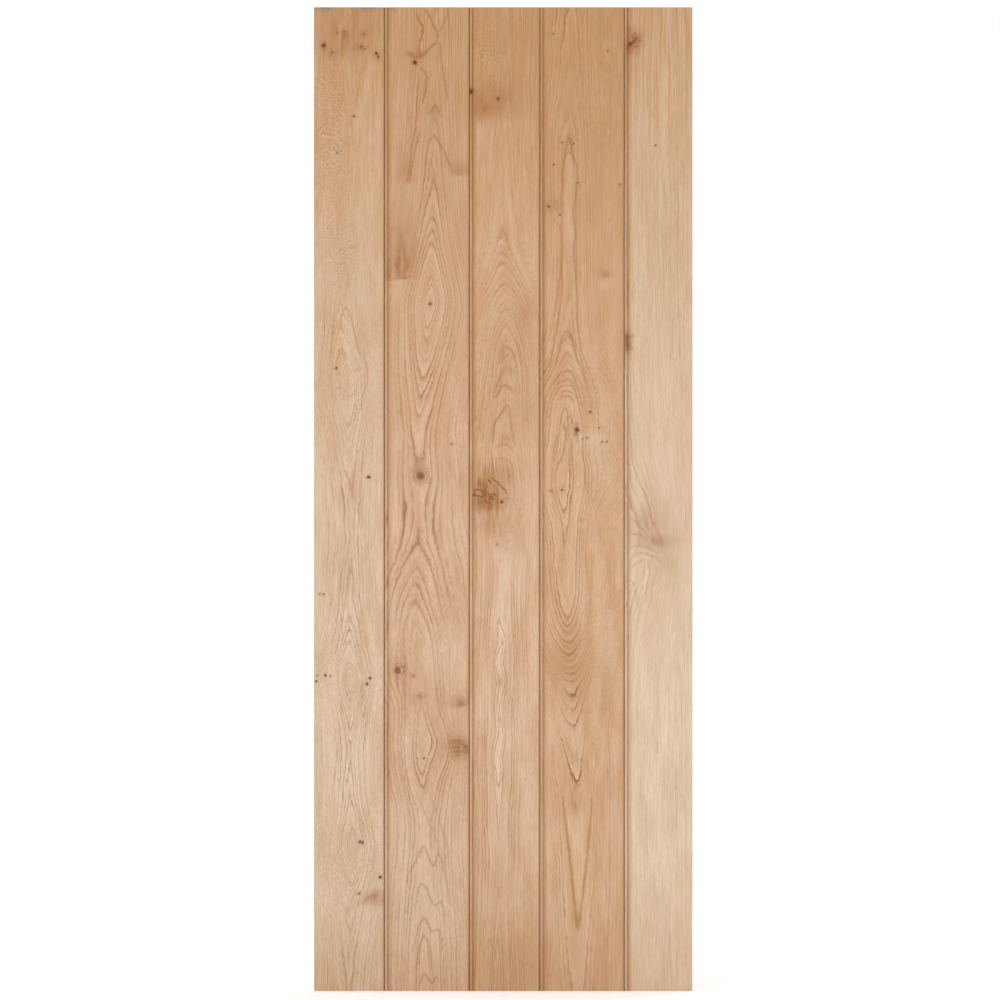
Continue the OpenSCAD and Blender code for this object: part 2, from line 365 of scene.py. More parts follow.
def oak_colour(new, tone, tint, seen, line):
    """Lays what is seen in the wood over its pale tone."""
    # Ambers lie in streaks and browns in fibres
    amber, brown, late, lines, dots = (new(MATHS, pair, operation="MULTIPLY") for pair in (
        [tint["amber"], new(RANGE, [seen["streak"], *NOISE_SPAN, 0.65, 1.3])],
        [tint["brown"], new(RANGE, [seen["fibre"], *NOISE_SPAN, 0.6, 1.4])],
        [seen["late"], LATE_SHARE * line],
        [seen["rings"], line],
        [seen["pores"], PORE_SHARE],
    ))
    colour = lay_tones(new, tone["pale"], [
        (seen["blotch"], tone["warm"]), (tint["pale"], tone["light"]), (amber, tone["amber"]),
        (late, tone["light"]), (lines, tone["line"]), (dots, tone["line"]),
        (seen["waves"], tone["line"]), (seen["crests"], tone["light"]), (brown, tone["brown"]),
    ])
    for pattern, swing in (("fibre", FIBRE_SWING), ("streak", STREAK_SWING)):
        shade = new(RANGE, [seen[pattern], *NOISE_SPAN, 1 - swing, 1 + swing])
        colour = new(VECTORS, {0: colour, "Scale": shade}, operation="SCALE")
    # End grain drinks more light
    normal = new("ShaderNodeNewGeometry", out="Normal")
    upward = new(MATHS, [new("ShaderNodeSeparateXYZ", [normal], out="Z")], operation="ABSOLUTE")
    ends = new(RANGE, [upward, 0.8, 1.0, 0.0, END_SHARE])
    layers = [(tint[kind], tone[kind]) for kind in ("stain", "knot", "dark")]
    return lay_tones(new, colour, layers + [(ends, tone["line"])])


print(f"fibres change the colour by {FIBRE_SWING:.0%}")

# %% Oak material
TINTS = ("amber", "brown", "pale", "stain", "curl", "bold", "calm", "knot", "dark")
RING_DEPTH = 1.0        # depths of the rings and pores, as parts of the height of the fibres
PORE_DEPTH = 0.6
GRAIN_HEIGHT = 0.15 * MM
BUMP = 0.25             # sanding leaves only a part of that height
SHINE = 0.2             # bare wood hardly mirrors
ROUGH = (0.55, 0.72)    # roughness of smooth wood and of open rings


def oak(name, tones, ring_mm, point=1.5, teeth_mm=4.0, line=1.0, aside=0.4, grown_at=None,
        wander_mm=9.0, reach_mm=190.0):
    """Bare oak, dull and warm, with lines of pores at each ring.

    Without a place and a turn in grown_at, it reads the place of growth from the mesh.
    """
    material = bare_material(name)
    new = partial(add, material.node_tree)
    tone = {key: linear(value) for key, value in tones.items()}
    tint = {kind: new("ShaderNodeAttribute", out="Fac", attribute_name=kind) for kind in TINTS}
    spot = new(VECTORS, {0: new("ShaderNodeTexCoord", out="Object"), "Scale": 1 / MM}, operation="SCALE")
    place, bent = grown_places(new, spot, grown_at, wander_mm, reach_mm)
    count, across = ring_count(new, place, bent, ring_mm, point, teeth_mm)
    rings, late = ring_lines(new, spot, count, across, tint, aside)
    waves, crests = curls(new, place, bent, tint["curl"])
    # Fibres and pores run up the tree, and the pores crowd the start of each ring
    fibre = grain(new, bent, GRAIN_MM["fibre"], detail=2.0)
    streak = grain(new, bent, GRAIN_MM["streak"])
    blotch = new(RANGE, [grain(new, spot, GRAIN_MM["blotch"], detail=2.0), 0.38, 0.62])
    pores = new(RANGE, [grain(new, bent, GRAIN_MM["pore"]), 0.54, 0.68])
    crowd = new(RANGE, [rings, 0.0, 0.5, 0.35, 1.0])
    pores = new(MATHS, [pores, crowd], operation="MULTIPLY")
    seen = dict(rings=rings, late=late, waves=waves, crests=crests, fibre=fibre, streak=streak,
                blotch=blotch, pores=pores)
    height = fibre
    for pattern, depth in ((rings, RING_DEPTH), (pores, PORE_DEPTH)):
        height = new(MATHS, [pattern, -depth, height], operation="MULTIPLY_ADD")
    wood = new("ShaderNodeBsdfPrincipled", {
        "Base Color": oak_colour(new, tone, tint, seen, line),
        "Roughness": new(RANGE, [rings, 0.0, 1.0, *ROUGH]),
        "Normal": new("ShaderNodeBump", {"Strength": BUMP, "Distance": GRAIN_HEIGHT, "Height": height}),
        "Specular IOR Level": SHINE,
    })
    new("ShaderNodeOutputMaterial", [wood])
    return material


print("oak reads", len(TINTS), "tints of each point")

# %% [markdown]
# ## Figure of the boards
# No two boards of the photograph are alike, and a viewer knows them by their arches, eyes and knots.
# A board's figure is set by where the heart of the tree ran behind its face. A heart that comes up to
# the face and dives again leaves an eye, one that dives slowly leaves a row of arches. So each board
# has a short list of places along the heart, and lists of its knots, pins, marks and patches.
# All are in millimetres on the leaf: X from its middle and Z from its foot.

# %% What a board is told
# rings: settings of its oak
# heart: height, place across, depth behind the face, and how narrow its arches are
# knots: place across, height, radius, push on the grain (a negative push draws it in), core, rings
# pins: place across, height, radius
# bends: place across, height, half width, half height, shift of the grain
# marks, by kind: share, half width, then places across and heights along the mark
# patches, by kind: place across, height, half width, half height, share, and a height to cut it off
BOARDS = {}
# Share of amber in the wood at each height: the boards darken towards the top
AMBER_FADE = [
    (0, 0.36), (120, 0.2), (280, 0.02), (790, 0.03), (1190, 0.3), (1490, 0.5), (1755, 0.75), (1981, 1.0),
]


def tones(pale, warm, light, line):
    """The colours of one board. Stained and knotty wood is alike in all of them."""
    return {"pale": pale, "warm": warm, "light": light, "line": line, "amber": "#b7895b",
            "brown": "#a36c3d", "stain": "#77736f", "knot": "#7d4a25", "dark": "#4c2004"}


def tell_board(name, *keys):
    """Prints how many things of each kind a board has."""
    counts = []
    for key in keys:
        found = BOARDS[name][key]
        counts.append(sum(map(len, found.values())) if isinstance(found, dict) else len(found))
    print(name, ", ".join(f"{count} {key}" for count, key in zip(counts, keys)))


print(f"amber rises from {min(share for _, share in AMBER_FADE)} to {AMBER_FADE[-1][1]}")

# %% Left edge board
BOARDS["left_edge_board"] = board = {
    "slot": "pale_board_oak",
    "tones": tones("#dabfa5", "#d0b091", "#e7d1b7", "#946738"),
    "rings": dict(ring_mm=4.6, point=1.5, teeth_mm=2.6, line=0.85, aside=0.25),
    "amber": 0.86,
    "pin_level": 0.85,
    "heart": [
        (0, -310, -44), (100, -308, -38), (180, -306, -28), (240, -304, -16), (290, -304, 0),
        (340, -304, 16), (385, -308, 24), (485, -308, 28), (560, -306, 20), (626, -308, 0, 0.9),
        (690, -310, -20), (790, -308, -34), (910, -304, -38), (1030, -306, -34), (1150, -312, -20),
        (1235, -324, 0), (1330, -326, 22), (1535, -332, 32), (1755, -328, 40), (1981, -318, 52),
    ],
    "knots": [],
    "pins": [
        (-362, 1904, 3.4), (-334, 1930, 1.3), (-320, 1932, 1.3), (-280, 1928, 1.3), (-344, 1890, 1.3),
        (-286, 1902, 2.0), (-278, 1898, 2.0), (-255, 1888, 3.2), (-252, 1882, 2.2), (-300, 1761, 2.4),
        (-334, 1688, 2.4), (-336, 1255, 2.4), (-270, 1035, 3.6), (-370, 799, 1.8), (-362, 799, 1.8),
        (-374, 636, 1.8), (-376, 624, 2.2), (-358, 636, 2.6), (-348, 634, 1.8), (-268, 630, 3.0),
        (-274, 618, 3.0), (-288, 301, 2.8), (-283, 299, 2.8), (-247, 230, 3.4), (-290, 197, 2.6),
    ],
    "bends": [],
}
tell_board("left_edge_board", "heart", "knots", "pins", "bends")

# %% Marks and patches of the left edge board
board["marks"] = {
    "pale": [(0.45, 7.0, (-294, 1720), (-288, 1790), (-276, 1845), (-258, 1876))],
    "brown": [
        (0.3, 2.0, (-300, 1770), (-293, 1815), (-282, 1860)),
        (0.22, 5.5, (-300, 176), (-284, 180), (-268, 189), (-247, 200)),
        (0.4, 2.0, (-327, 1342), (-325, 1362), (-318, 1378), (-311, 1370), (-306, 1354), (-302, 1338),
         (-297, 1314), (-291, 1292), (-287, 1272)),
        (0.4, 1.8, (-341, 1360), (-343, 1335), (-345, 1308), (-348, 1280)),
        (0.45, 1.8, (-337, 1258), (-334, 1275), (-330, 1293), (-325, 1294), (-319, 1283), (-313, 1274)),
        (0.3, 1.8, (-299, 1278), (-292, 1266), (-288, 1250)),
        (0.28, 2.2, (-300, 1244), (-294, 1254), (-289, 1247)),
        (0.4, 2.0, (-281, 1290), (-276, 1262), (-273, 1240), (-275, 1222), (-281, 1206), (-285, 1188),
         (-289, 1168)),
        (0.28, 1.8, (-340, 1212), (-329, 1215), (-320, 1217), (-313, 1222)),
        (0.3, 1.8, (-322, 1200), (-309, 1197), (-302, 1203), (-296, 1214)),
        (0.3, 1.8, (-348, 1203), (-344, 1194), (-340, 1185)),
    ],
}
board["patches"] = {
    "brown": [
        (-328, 1915, 50, 50, 0.3), (-254, 186, 28, 20, 0.4, 166), (-312, 160, 6, 12, 0.35),
        (-345, 1760, 40, 150, 0.22), (-326, 1490, 30, 90, 0.14), (-334, 1927, 4, 8, 0.6),
        (-320, 1929, 4, 8, 0.6), (-280, 1925, 5, 8, 0.6), (-345, 1887, 5, 9, 0.45),
        (-251, 1880, 7, 9, 0.5), (-361, 1902, 7, 8, 0.45), (-284, 1900, 15, 10, 0.35),
        (-344, 1890, 12, 12, 0.3), (-280, 1930, 9, 9, 0.25), (-310, 1965, 90, 70, 0.32),
    ],
    "pale": [(-310, 430, 80, 100, 0.5), (-310, 150, 80, 120, 0.4), (-314, 1320, 12, 50, 0.5)],
    "calm": [
        (-310, 90, 80, 130, 0.35), (-312, 1275, 34, 110, 0.45), (-262, 1640, 38, 420, 0.9),
        (-340, 1930, 60, 60, 0.8),
    ],
    "bold": [(-308, 626, 24, 90, 0.3), (-306, 280, 28, 80, 0.1)],
    "curl": [(-348, 1740, 34, 130, 1.0), (-326, 1490, 34, 100, 0.8), (-312, 262, 34, 40, 0.3)],
    "stain": [(-357, 1981, 20, 6, 0.9), (-275, 1981, 22, 6, 0.9)],
}
tell_board("left_edge_board", "marks", "patches")

# %% Left inner board
BOARDS["left_inner_board"] = board = {
    "slot": "warm_board_oak",
    "tones": tones("#d8b698", "#cea686", "#e3c7ab", "#935a2e"),
    "rings": dict(ring_mm=8.5, point=1.5, teeth_mm=2.6, line=1.0, aside=0.5),
    "amber": 0.86,
    "pin_level": 0.9,
    "heart": [
        (0, -159, -2, 1.2), (37, -159, 2, 1.2), (112, -159, 10, 1.2), (148, -160, 19, 1.2),
        (219, -161, 27, 1.2), (293, -160, 35, 1.2), (340, -158, 37, 1.2), (384, -158, 28, 1.2),
        (434, -165, 14, 1.2), (500, -167, 0, 1.2), (574, -165, -12, 1.2), (606, -169, -16, 1.0),
        (707, -173, -24, 0.9), (763, -177, -34, 0.9), (789, -177, -42, 0.9), (836, -175, -51, 0.9),
        (870, -171, -60, 0.9), (900, -170, -67.5, 0.9), (949, -169, -68.5, 1.0), (1029, -167, -69, 1.1),
        (1130, -169, -60, 1.3), (1231, -163, -42, 1.3), (1311, -153, -20, 1.3), (1384, -147, 0, 1.3),
        (1453, -145, 24, 1.5), (1533, -143, 50, 1.7), (1624, -141, 66, 1.8), (1725, -139, 76, 1.8),
        (1779, -139, 81, 1.8), (1876, -135, 86, 1.8), (1981, -135, 88, 1.8),
    ],
    "knots": [
        (-166, 1038, 13, 0.85, 0.85, 0.8), (-211, 646, 14, 0.6, 0.8, 0.35), (-90, 491, 18, -0.9, 0.15, 0.4),
        (-147, 1384, 6, 0.3, 0.85, 0.2),
    ],
    "pins": [(-177, 1869, 4.8), (-103, 1102, 2.0), (-159, 469, 2.0)],
    "bends": [(-100, 492, 40, 75, 15)],
}
tell_board("left_inner_board", "heart", "knots", "pins", "bends")

# %% Marks and patches of the left inner board
board["marks"] = {
    "knot": [
        (0.65, 1.3, (-107, 500), (-98, 506), (-86, 505), (-78, 499)),
        (0.65, 1.3, (-104, 494), (-96, 500), (-86, 499), (-76, 491)),
        (0.65, 1.3, (-103, 487), (-96, 492), (-86, 491)),
        (0.65, 1.3, (-100, 480), (-92, 484), (-82, 481)), (0.5, 1.0, (-95, 474), (-86, 475)),
        (0.8, 3.0, (-77, 494), (-72, 492)), (0.4, 2.0, (-184, 637), (-177, 632)),
        (0.35, 1.6, (-172, 596), (-167, 592)),
        (0.8, 1.1, (-206, 655), (-201, 652), (-199, 644), (-203, 638)),
        (0.35, 1.6, (-230, 1433), (-206, 1434), (-184, 1440)),
    ],
    "pale": [(0.8, 1.1, (-207, 650), (-203, 647), (-205, 641))],
    "brown": [
        (0.9, 2.2, (-175, 1968), (-170, 1954), (-163, 1944), (-162, 1928), (-168, 1911), (-170, 1890)),
        (0.7, 2.0, (-158, 1977), (-150, 1967), (-144, 1952), (-138, 1939), (-132, 1932), (-132, 1921),
         (-135, 1911)),
        (0.5, 2.0, (-132, 1932), (-126, 1935), (-121, 1946), (-114, 1964), (-112, 1976)),
        (0.7, 4.5, (-194, 1889), (-186, 1885), (-178, 1879), (-168, 1882), (-158, 1888)),
        (0.75, 2.6, (-160, 1887), (-154, 1893), (-146, 1900), (-139, 1907), (-132, 1911)),
        (0.6, 2.0, (-132, 1911), (-127, 1907), (-126, 1898), (-125, 1886), (-123, 1868), (-122, 1853),
         (-119, 1836), (-115, 1815), (-112, 1795)),
        (0.8, 2.0, (-167, 1860), (-158, 1851), (-154, 1841), (-154, 1823), (-158, 1805), (-163, 1788)),
        (0.7, 1.8, (-170, 1836), (-172, 1815), (-174, 1780), (-176, 1745), (-182, 1712), (-187, 1674),
         (-190, 1649), (-194, 1629)),
        (0.7, 1.8, (-169, 1730), (-173, 1712), (-179, 1687), (-184, 1659), (-188, 1631)),
        (0.65, 2.8, (-147, 1766), (-142, 1778), (-137, 1785), (-132, 1776), (-126, 1762)),
        (0.6, 2.0, (-149, 1707), (-143, 1718), (-139, 1724), (-134, 1717), (-127, 1704), (-121, 1694),
         (-115, 1682), (-109, 1667), (-102, 1651)),
        (0.45, 2.0, (-193, 220), (-190, 238), (-177, 258), (-167, 281), (-160, 293), (-152, 276),
         (-145, 255), (-138, 252), (-134, 271), (-130, 279), (-124, 263), (-114, 218), (-107, 172)),
        (0.45, 2.0, (-178, 160), (-175, 182), (-171, 208), (-165, 215), (-157, 213), (-150, 195),
         (-143, 177), (-135, 172), (-125, 182), (-119, 167), (-117, 132)),
        (0.45, 2.0, (-182, 80), (-177, 102), (-170, 132), (-160, 147), (-152, 137), (-145, 120),
         (-129, 124), (-125, 102), (-123, 80)),
        (0.45, 2.0, (-176, 40), (-172, 72), (-167, 97), (-160, 114), (-152, 102), (-147, 80),
         (-145, 50)),
        (0.5, 2.0, (-170, 5), (-167, 16), (-162, 31), (-159, 36), (-149, 21), (-142, 16), (-135, 29),
         (-129, 19)),
        (0.28, 2.0, (-174, 400), (-163, 370), (-152, 345), (-141, 320), (-131, 300)),
        (0.28, 2.0, (-148, 400), (-140, 375), (-131, 352), (-118, 310), (-106, 250)),
    ],
}
board["patches"] = {
    "brown": [
        (-210, 1475, 34, 70, 0.65, 1430), (-82, 576, 26, 18, 0.6, 570), (-172, 1888, 18, 8, 0.4),
        (-85, 1652, 16, 18, 0.5, 1638), (-192, 1650, 16, 34, 0.4, 1622), (-182, 635, 5, 5, 0.5),
        (-75, 484, 6, 9, 0.6), (-90, 491, 20, 20, 0.5), (-167, 594, 12, 7, 0.55),
        (-150, 1760, 100, 240, 0.1),
    ],
    "pale": [
        (-160, 220, 90, 160, 0.5), (-168, 1125, 12, 55, 0.6), (-141, 1865, 12, 36, 0.4),
        (-84, 1624, 18, 16, 0.4), (-160, 90, 90, 90, 0.4), (-150, 1370, 26, 80, 0.35),
    ],
    "curl": [(-105, 600, 26, 50, 0.2)],
    "calm": [
        (-138, 1800, 24, 110, 0.7), (-165, 560, 30, 100, 0.45), (-171, 800, 60, 90, 0.25),
        (-167, 622, 16, 40, 0.9), (-100, 690, 34, 60, 0.4), (-166, 1038, 22, 28, 0.9),
        (-90, 491, 22, 24, 0.9), (-160, 1900, 40, 50, 0.4), (-139, 1760, 70, 180, 0.15),
        (-150, 1390, 18, 50, 0.6), (-150, 180, 26, 150, 0.85),
    ],
    "bold": [(-192, 1790, 36, 160, 0.4), (-214, 930, 26, 120, 0.4)],
    "stain": [(-145, 1650, 120, 300, 0.035), (-226, 1981, 9, 6, 0.7)],
    "amber": [(-90, 480, 34, 60, 0.4), (-150, 600, 90, 60, 0.2)],
}
tell_board("left_inner_board", "marks", "patches")

# %% Centre board
BOARDS["centre_board"] = board = {
    "slot": "warm_board_oak",
    "tones": tones("#dcba9c", "#d2ab89", "#e6ccb2", "#996232"),
    "rings": dict(ring_mm=6.4, point=1.5, teeth_mm=2.2, line=1.0, aside=0.3),
    "amber": 1.0,
    "pin_level": 0.85,
    "heart": [
        (0, -12, 3, 1.1), (61, -12, 6, 1.1), (144, -12, 13, 1.1), (260, -10, 17, 1.1), (330, -10, 15, 1.1),
        (400, -7, 13, 1.1), (480, -8, 3, 1.1), (560, -6, 12, 1.1), (616, -5, 6, 1.1), (646, -5, 4, 1.1),
        (676, -5, 6, 1.1), (722, -5, 11, 1.1), (775, -5, 17, 1.1), (860, -2, 18, 1.1), (949, 0, 14, 1.1),
        (1000, 2, 10, 1.1), (1050, 0, 10, 1.1), (1106, 0, 14, 1.1), (1180, 4, 20, 1.2), (1223, 8, 25, 1.2),
        (1251, 8, 29, 1.2), (1283, 8, 34, 1.2), (1299, 8, 39, 1.2), (1328, 7, 45, 1.2), (1344, 6, 51, 1.2),
        (1402, 4, 70, 1.2), (1434, 2, 83, 1.3), (1455, 0, 90, 1.3), (1479, 0, 96, 1.3), (1503, 0, 103, 1.3),
        (1720, 2, 112, 1.3), (1981, 4, 122, 1.3),
    ],
    "knots": [
        (-27, 1004, 26, 0.5, 0.1, 0.0), (-18, 997, 9, 0, 0.3, 0.0), (8, 992, 5, 0, 0.5, 0.0),
        (-42, 985, 14, 0, 0.25, 0.2), (-10, 1797, 7, 0, 0.85, 0.0), (-12, 899, 4, 0, 0.5, 0.4),
    ],
    "pins": [(-64, 1811, 5.0), (-3, 985, 3.2), (-59, 999, 2.4)],
    "bends": [
        (-4, 745, 14, 16, -5), (-4, 705, 14, 18, 5), (-4, 662, 14, 18, -5), (-5, 620, 14, 18, 5),
        (-8, 575, 14, 18, -4), (-8, 520, 14, 20, 4), (-8, 470, 14, 18, -4),
    ],
}
tell_board("centre_board", "heart", "knots", "pins", "bends")

# %% Marks and patches of the centre board
board["marks"] = {
    "dark": [
        (0.9, 1.1, (-31, 1029), (-23, 1022)),
        (0.9, 1.3, (-59, 999), (-54, 997), (-48, 996), (-43, 994)),
        (0.95, 1.8, (-19, 1001), (-16, 999)),
    ],
    "pale": [
        (0.8, 2.0, (-33, 1025), (-27, 1017)), (0.5, 4.0, (-27, 1019), (-24, 1014)),
        (0.6, 4.0, (-54, 1003), (-48, 1002)), (0.8, 1.4, (-15, 1006), (-12, 1003)),
        (0.6, 1.2, (-6, 988), (-6, 982)), (0.6, 1.2, (1, 988), (1, 982)),
        (0.4, 3.0, (0, 1214), (-3, 1205), (-7, 1196)),
    ],
    "knot": [
        (0.7, 1.0, (-34, 1023), (-32, 1015), (-34, 1006)), (0.6, 1.0, (-28, 1016), (-29, 1006)),
        (0.85, 1.8, (-37, 1012), (-37, 1000), (-33, 993)),
        (0.85, 1.8, (-33, 1004), (-27, 996), (-27, 988)),
        (0.85, 1.8, (-40, 990), (-34, 985), (-27, 984)),
        (0.8, 1.8, (-26, 1003), (-22, 992), (-16, 988)), (0.4, 2.5, (-22, 1016), (-12, 1022)),
        (0.9, 1.4, (-60, 1001), (-58, 1008), (-53, 1011), (-47, 1010), (-42, 1005), (-40, 997),
         (-43, 993)),
        (0.4, 1.2, (-57, 991), (-51, 988), (-43, 990)),
        (0.75, 1.6, (-25, 1033), (-14, 1027), (-5, 1018), (5, 1007), (10, 999)),
        (0.4, 0.9, (-12, 977), (-14, 950)), (0.35, 0.9, (-5, 977), (-5, 967)),
    ],
    "brown": [
        (0.55, 2.0, (-9, 1264), (-4, 1282), (2, 1296), (7, 1300), (13, 1294), (19, 1285), (24, 1272),
         (28, 1256)),
        (0.45, 2.0, (-2, 1266), (3, 1275), (8, 1282), (12, 1278)),
        (0.4, 1.8, (31, 1302), (34, 1288), (36, 1274), (41, 1256)),
        (0.5, 2.0, (0, 1250), (-4, 1242), (-9, 1232), (-13, 1220), (-18, 1204)),
        (0.6, 2.4, (-20, 1194), (-13, 1200), (-8, 1208), (-4, 1217), (3, 1220), (9, 1217), (15, 1213),
         (19, 1206)),
        (0.65, 2.2, (9, 1181), (4, 1175), (-1, 1167), (-6, 1161), (-9, 1155), (-15, 1151), (-18, 1140),
         (-19, 1120), (-19, 1104)),
        (0.5, 2.4, (9, 1181), (13, 1174), (14, 1158), (16, 1143), (18, 1128), (21, 1112), (23, 1096)),
        (0.5, 1.8, (-18, 1093), (-11, 1098), (0, 1101), (10, 1100), (15, 1094), (19, 1085)),
        (0.35, 1.8, (-14, 1070), (-5, 1073), (6, 1071), (14, 1065), (20, 1060)),
        (0.5, 3.0, (-57, 1154), (-53, 1153)),
    ],
}
board["patches"] = {
    "brown": [
        (-16, 1794, 48, 36, 0.5, 1752), (-46, 1772, 20, 24, 0.35, 1746), (-30, 977, 24, 13, 0.5),
        (-45, 1024, 9, 9, 0.7), (38, 1360, 22, 36, 0.25), (0, 1900, 90, 130, 0.1),
        (-25, 940, 40, 24, 0.25), (-29, 1002, 34, 30, 0.75), (11, 1250, 10, 7, 0.3),
        (0, 925, 70, 60, 0.15), (0, 290, 80, 90, 0.08),
    ],
    "amber": [
        (-20, 1042, 50, 24, 0.6), (-6, 622, 8, 14, 0.6), (0, 1200, 90, 150, 0.3),
        (0, 60, 90, 100, 0.34), (5, 1113, 8, 8, 0.5),
    ],
    "curl": [(6, 1370, 26, 40, 0.3), (-4, 912, 24, 24, 0.8), (-32, 1870, 32, 90, 0.46)],
    "pale": [
        (-10, 330, 9, 60, 0.6), (-52, 950, 7, 12, 0.6), (-4, 745, 11, 70, 0.8), (-8, 600, 9, 90, 0.8),
        (-10, 450, 9, 70, 0.7), (4, 850, 12, 36, 0.7), (0, 1148, 11, 26, 0.5), (10, 1231, 9, 6, 0.4),
    ],
    "calm": [
        (0, 90, 90, 130, 0.3), (-4, 680, 24, 200, 0.35), (0, 1640, 80, 120, 0.4),
        (4, 1440, 60, 110, 0.3), (-27, 1003, 36, 34, 1.0), (10, 905, 70, 60, 0.6),
        (3, 1180, 28, 120, 0.75), (0, 1850, 80, 120, 0.75),
    ],
}
tell_board("centre_board", "marks", "patches")

# %% Right inner board
BOARDS["right_inner_board"] = board = {
    "slot": "warm_board_oak",
    "tones": tones("#d8b392", "#cea37d", "#e2c5a8", "#935a2c"),
    "rings": dict(ring_mm=7.2, point=1.7, teeth_mm=1.6, line=0.95, aside=0.35),
    "amber": 0.95,
    "pin_level": 0.7,
    "heart": [
        (0, 148, -147, 1.4), (116, 150, -144, 1.4), (398, 147, -137, 1.4), (491, 142, -130, 1.5),
        (529, 139, -122, 1.6), (582, 137, -108, 1.6), (620, 134, -101, 1.5), (646, 133, -86, 1.5),
        (686, 131, -65, 1.5), (723, 130, -43, 1.4), (761, 129, -30, 1.3), (807, 128, -24, 1.2),
        (872, 124, -20, 1.2), (940, 124, -14, 1.2), (989, 119, -7, 0.85), (1023, 119, 0, 0.75),
        (1062, 121, 5, 0.8), (1110, 126, 9, 1.0), (1160, 126, 14, 1.0), (1196, 124, 22, 1.0),
        (1211, 126, 29, 1.0), (1229, 128, 36, 1.0), (1249, 130, 43, 1.1), (1285, 130, 51, 1.3),
        (1336, 130, 58, 1.5), (1412, 132, 62, 1.6), (1594, 132, 63, 1.6), (1686, 130, 66, 1.6),
        (1795, 134, 76, 1.6), (1981, 138, 89, 1.6),
    ],
    "knots": [(148, 1130, 9, 0.5, 0.7, 0.3)],
    "pins": [
        (100, 1928, 1.8), (211, 1894, 1.8), (118, 1709, 2.0), (142, 1706, 2.0), (102, 1664, 1.8),
        (150, 1628, 1.8), (235, 1624, 2.0), (92, 1580, 3.0), (114, 1563, 1.8), (175, 1166, 2.6),
        (193, 1134, 1.6), (160, 1112, 1.8), (169, 1114, 2.2), (199, 1106, 2.2), (209, 1106, 2.2),
        (119, 1009, 2.6), (96, 1007, 2.0), (149, 1131, 4.4),
    ],
    "bends": [],
}
tell_board("right_inner_board", "heart", "knots", "pins", "bends")

# %% Marks and patches of the right inner board
board["marks"] = {
    "knot": [
        (0.85, 4.2, (147, 1135), (147, 1119)), (0.35, 3.0, (150, 1116), (150, 1106)),
        (0.6, 1.8, (143, 1142), (152, 1143)), (0.7, 1.5, (140, 1152), (138, 1142)),
        (0.4, 1.1, (122, 1158), (126, 1154), (132, 1155), (135, 1160)),
        (0.5, 2.0, (245, 1303), (245, 1290)),
    ],
    "brown": [
        (0.5, 2.0, (114, 1594), (120, 1620), (118, 1648), (124, 1680), (132, 1691), (140, 1684),
         (148, 1661), (150, 1628), (146, 1594), (140, 1567), (146, 1527), (142, 1487), (146, 1439),
         (149, 1392), (149, 1352)),
        (0.5, 2.0, (101, 1556), (114, 1540), (120, 1507), (118, 1467), (112, 1419), (104, 1372),
         (94, 1311)),
        (0.5, 2.0, (105, 1262), (110, 1280), (114, 1300), (119, 1317), (125, 1329), (131, 1328),
         (138, 1320), (144, 1305), (147, 1288), (149, 1268)),
        (0.4, 2.0, (112, 1366), (108, 1345), (102, 1318), (99, 1292), (97, 1270), (93, 1248)),
        (0.4, 1.8, (149, 1352), (151, 1330), (154, 1305), (156, 1283), (159, 1260), (163, 1238),
         (168, 1208)),
        (0.45, 2.4, (112, 1258), (117, 1268), (122, 1278), (128, 1285), (134, 1280), (140, 1274)),
        (0.55, 2.2, (101, 1222), (108, 1233), (115, 1243), (122, 1248), (131, 1249), (138, 1246),
         (143, 1239), (147, 1228)),
        (0.5, 2.0, (106, 1216), (113, 1225), (120, 1230), (129, 1232), (137, 1230), (143, 1224),
         (147, 1214)),
        (0.5, 1.8, (108, 1210), (116, 1217), (124, 1220), (132, 1220), (139, 1216), (145, 1207)),
        (0.5, 1.8, (110, 1199), (118, 1206), (127, 1209), (135, 1207), (141, 1201), (146, 1193)),
        (0.55, 1.8, (112, 1191), (119, 1197), (127, 1199), (134, 1197), (140, 1191), (143, 1185)),
        (0.5, 2.2, (131, 1141), (127, 1128), (125, 1108), (123, 1092), (118, 1076), (112, 1062),
         (106, 1046)),
        (0.4, 1.8, (139, 1112), (137, 1098), (135, 1084), (135, 1068), (137, 1050), (139, 1032)),
        (0.4, 2.0, (108, 1120), (104, 1100), (101, 1082), (98, 1062)),
        (0.65, 2.6, (120, 390), (128, 320), (137, 240), (145, 165), (150, 122)),
        (0.65, 2.6, (179, 390), (174, 320), (166, 240), (157, 165), (152, 122)),
    ],
}
board["patches"] = {
    "amber": [
        (104, 1582, 14, 12, 0.6), (158, 947, 5, 4, 0.8), (145, 384, 11, 34, 0.8),
        (148, 144, 9, 22, 0.6), (132, 660, 36, 90, 0.6),
    ],
    "brown": [(150, 1690, 90, 110, 0.08), (204, 1438, 15, 12, 0.6, 1436), (205, 606, 40, 90, 0.15)],
    "calm": [
        (127, 1240, 26, 70, 0.7), (131, 690, 50, 110, 0.35), (222, 1300, 40, 500, 0.5),
        (132, 1550, 22, 150, 0.85), (140, 1860, 90, 110, 0.6), (150, 260, 14, 140, 0.9),
    ],
    "pale": [
        (203, 1422, 14, 9, 0.6), (158, 940, 7, 6, 0.6), (186, 1110, 30, 14, 0.6),
        (132, 1560, 9, 130, 0.45), (120, 1120, 60, 60, 0.25), (150, 260, 12, 130, 0.3),
        (200, 1040, 60, 110, 0.25),
    ],
    "bold": [(125, 1000, 24, 150, 0.3), (148, 200, 100, 260, 0.9)],
}
tell_board("right_inner_board", "marks", "patches")

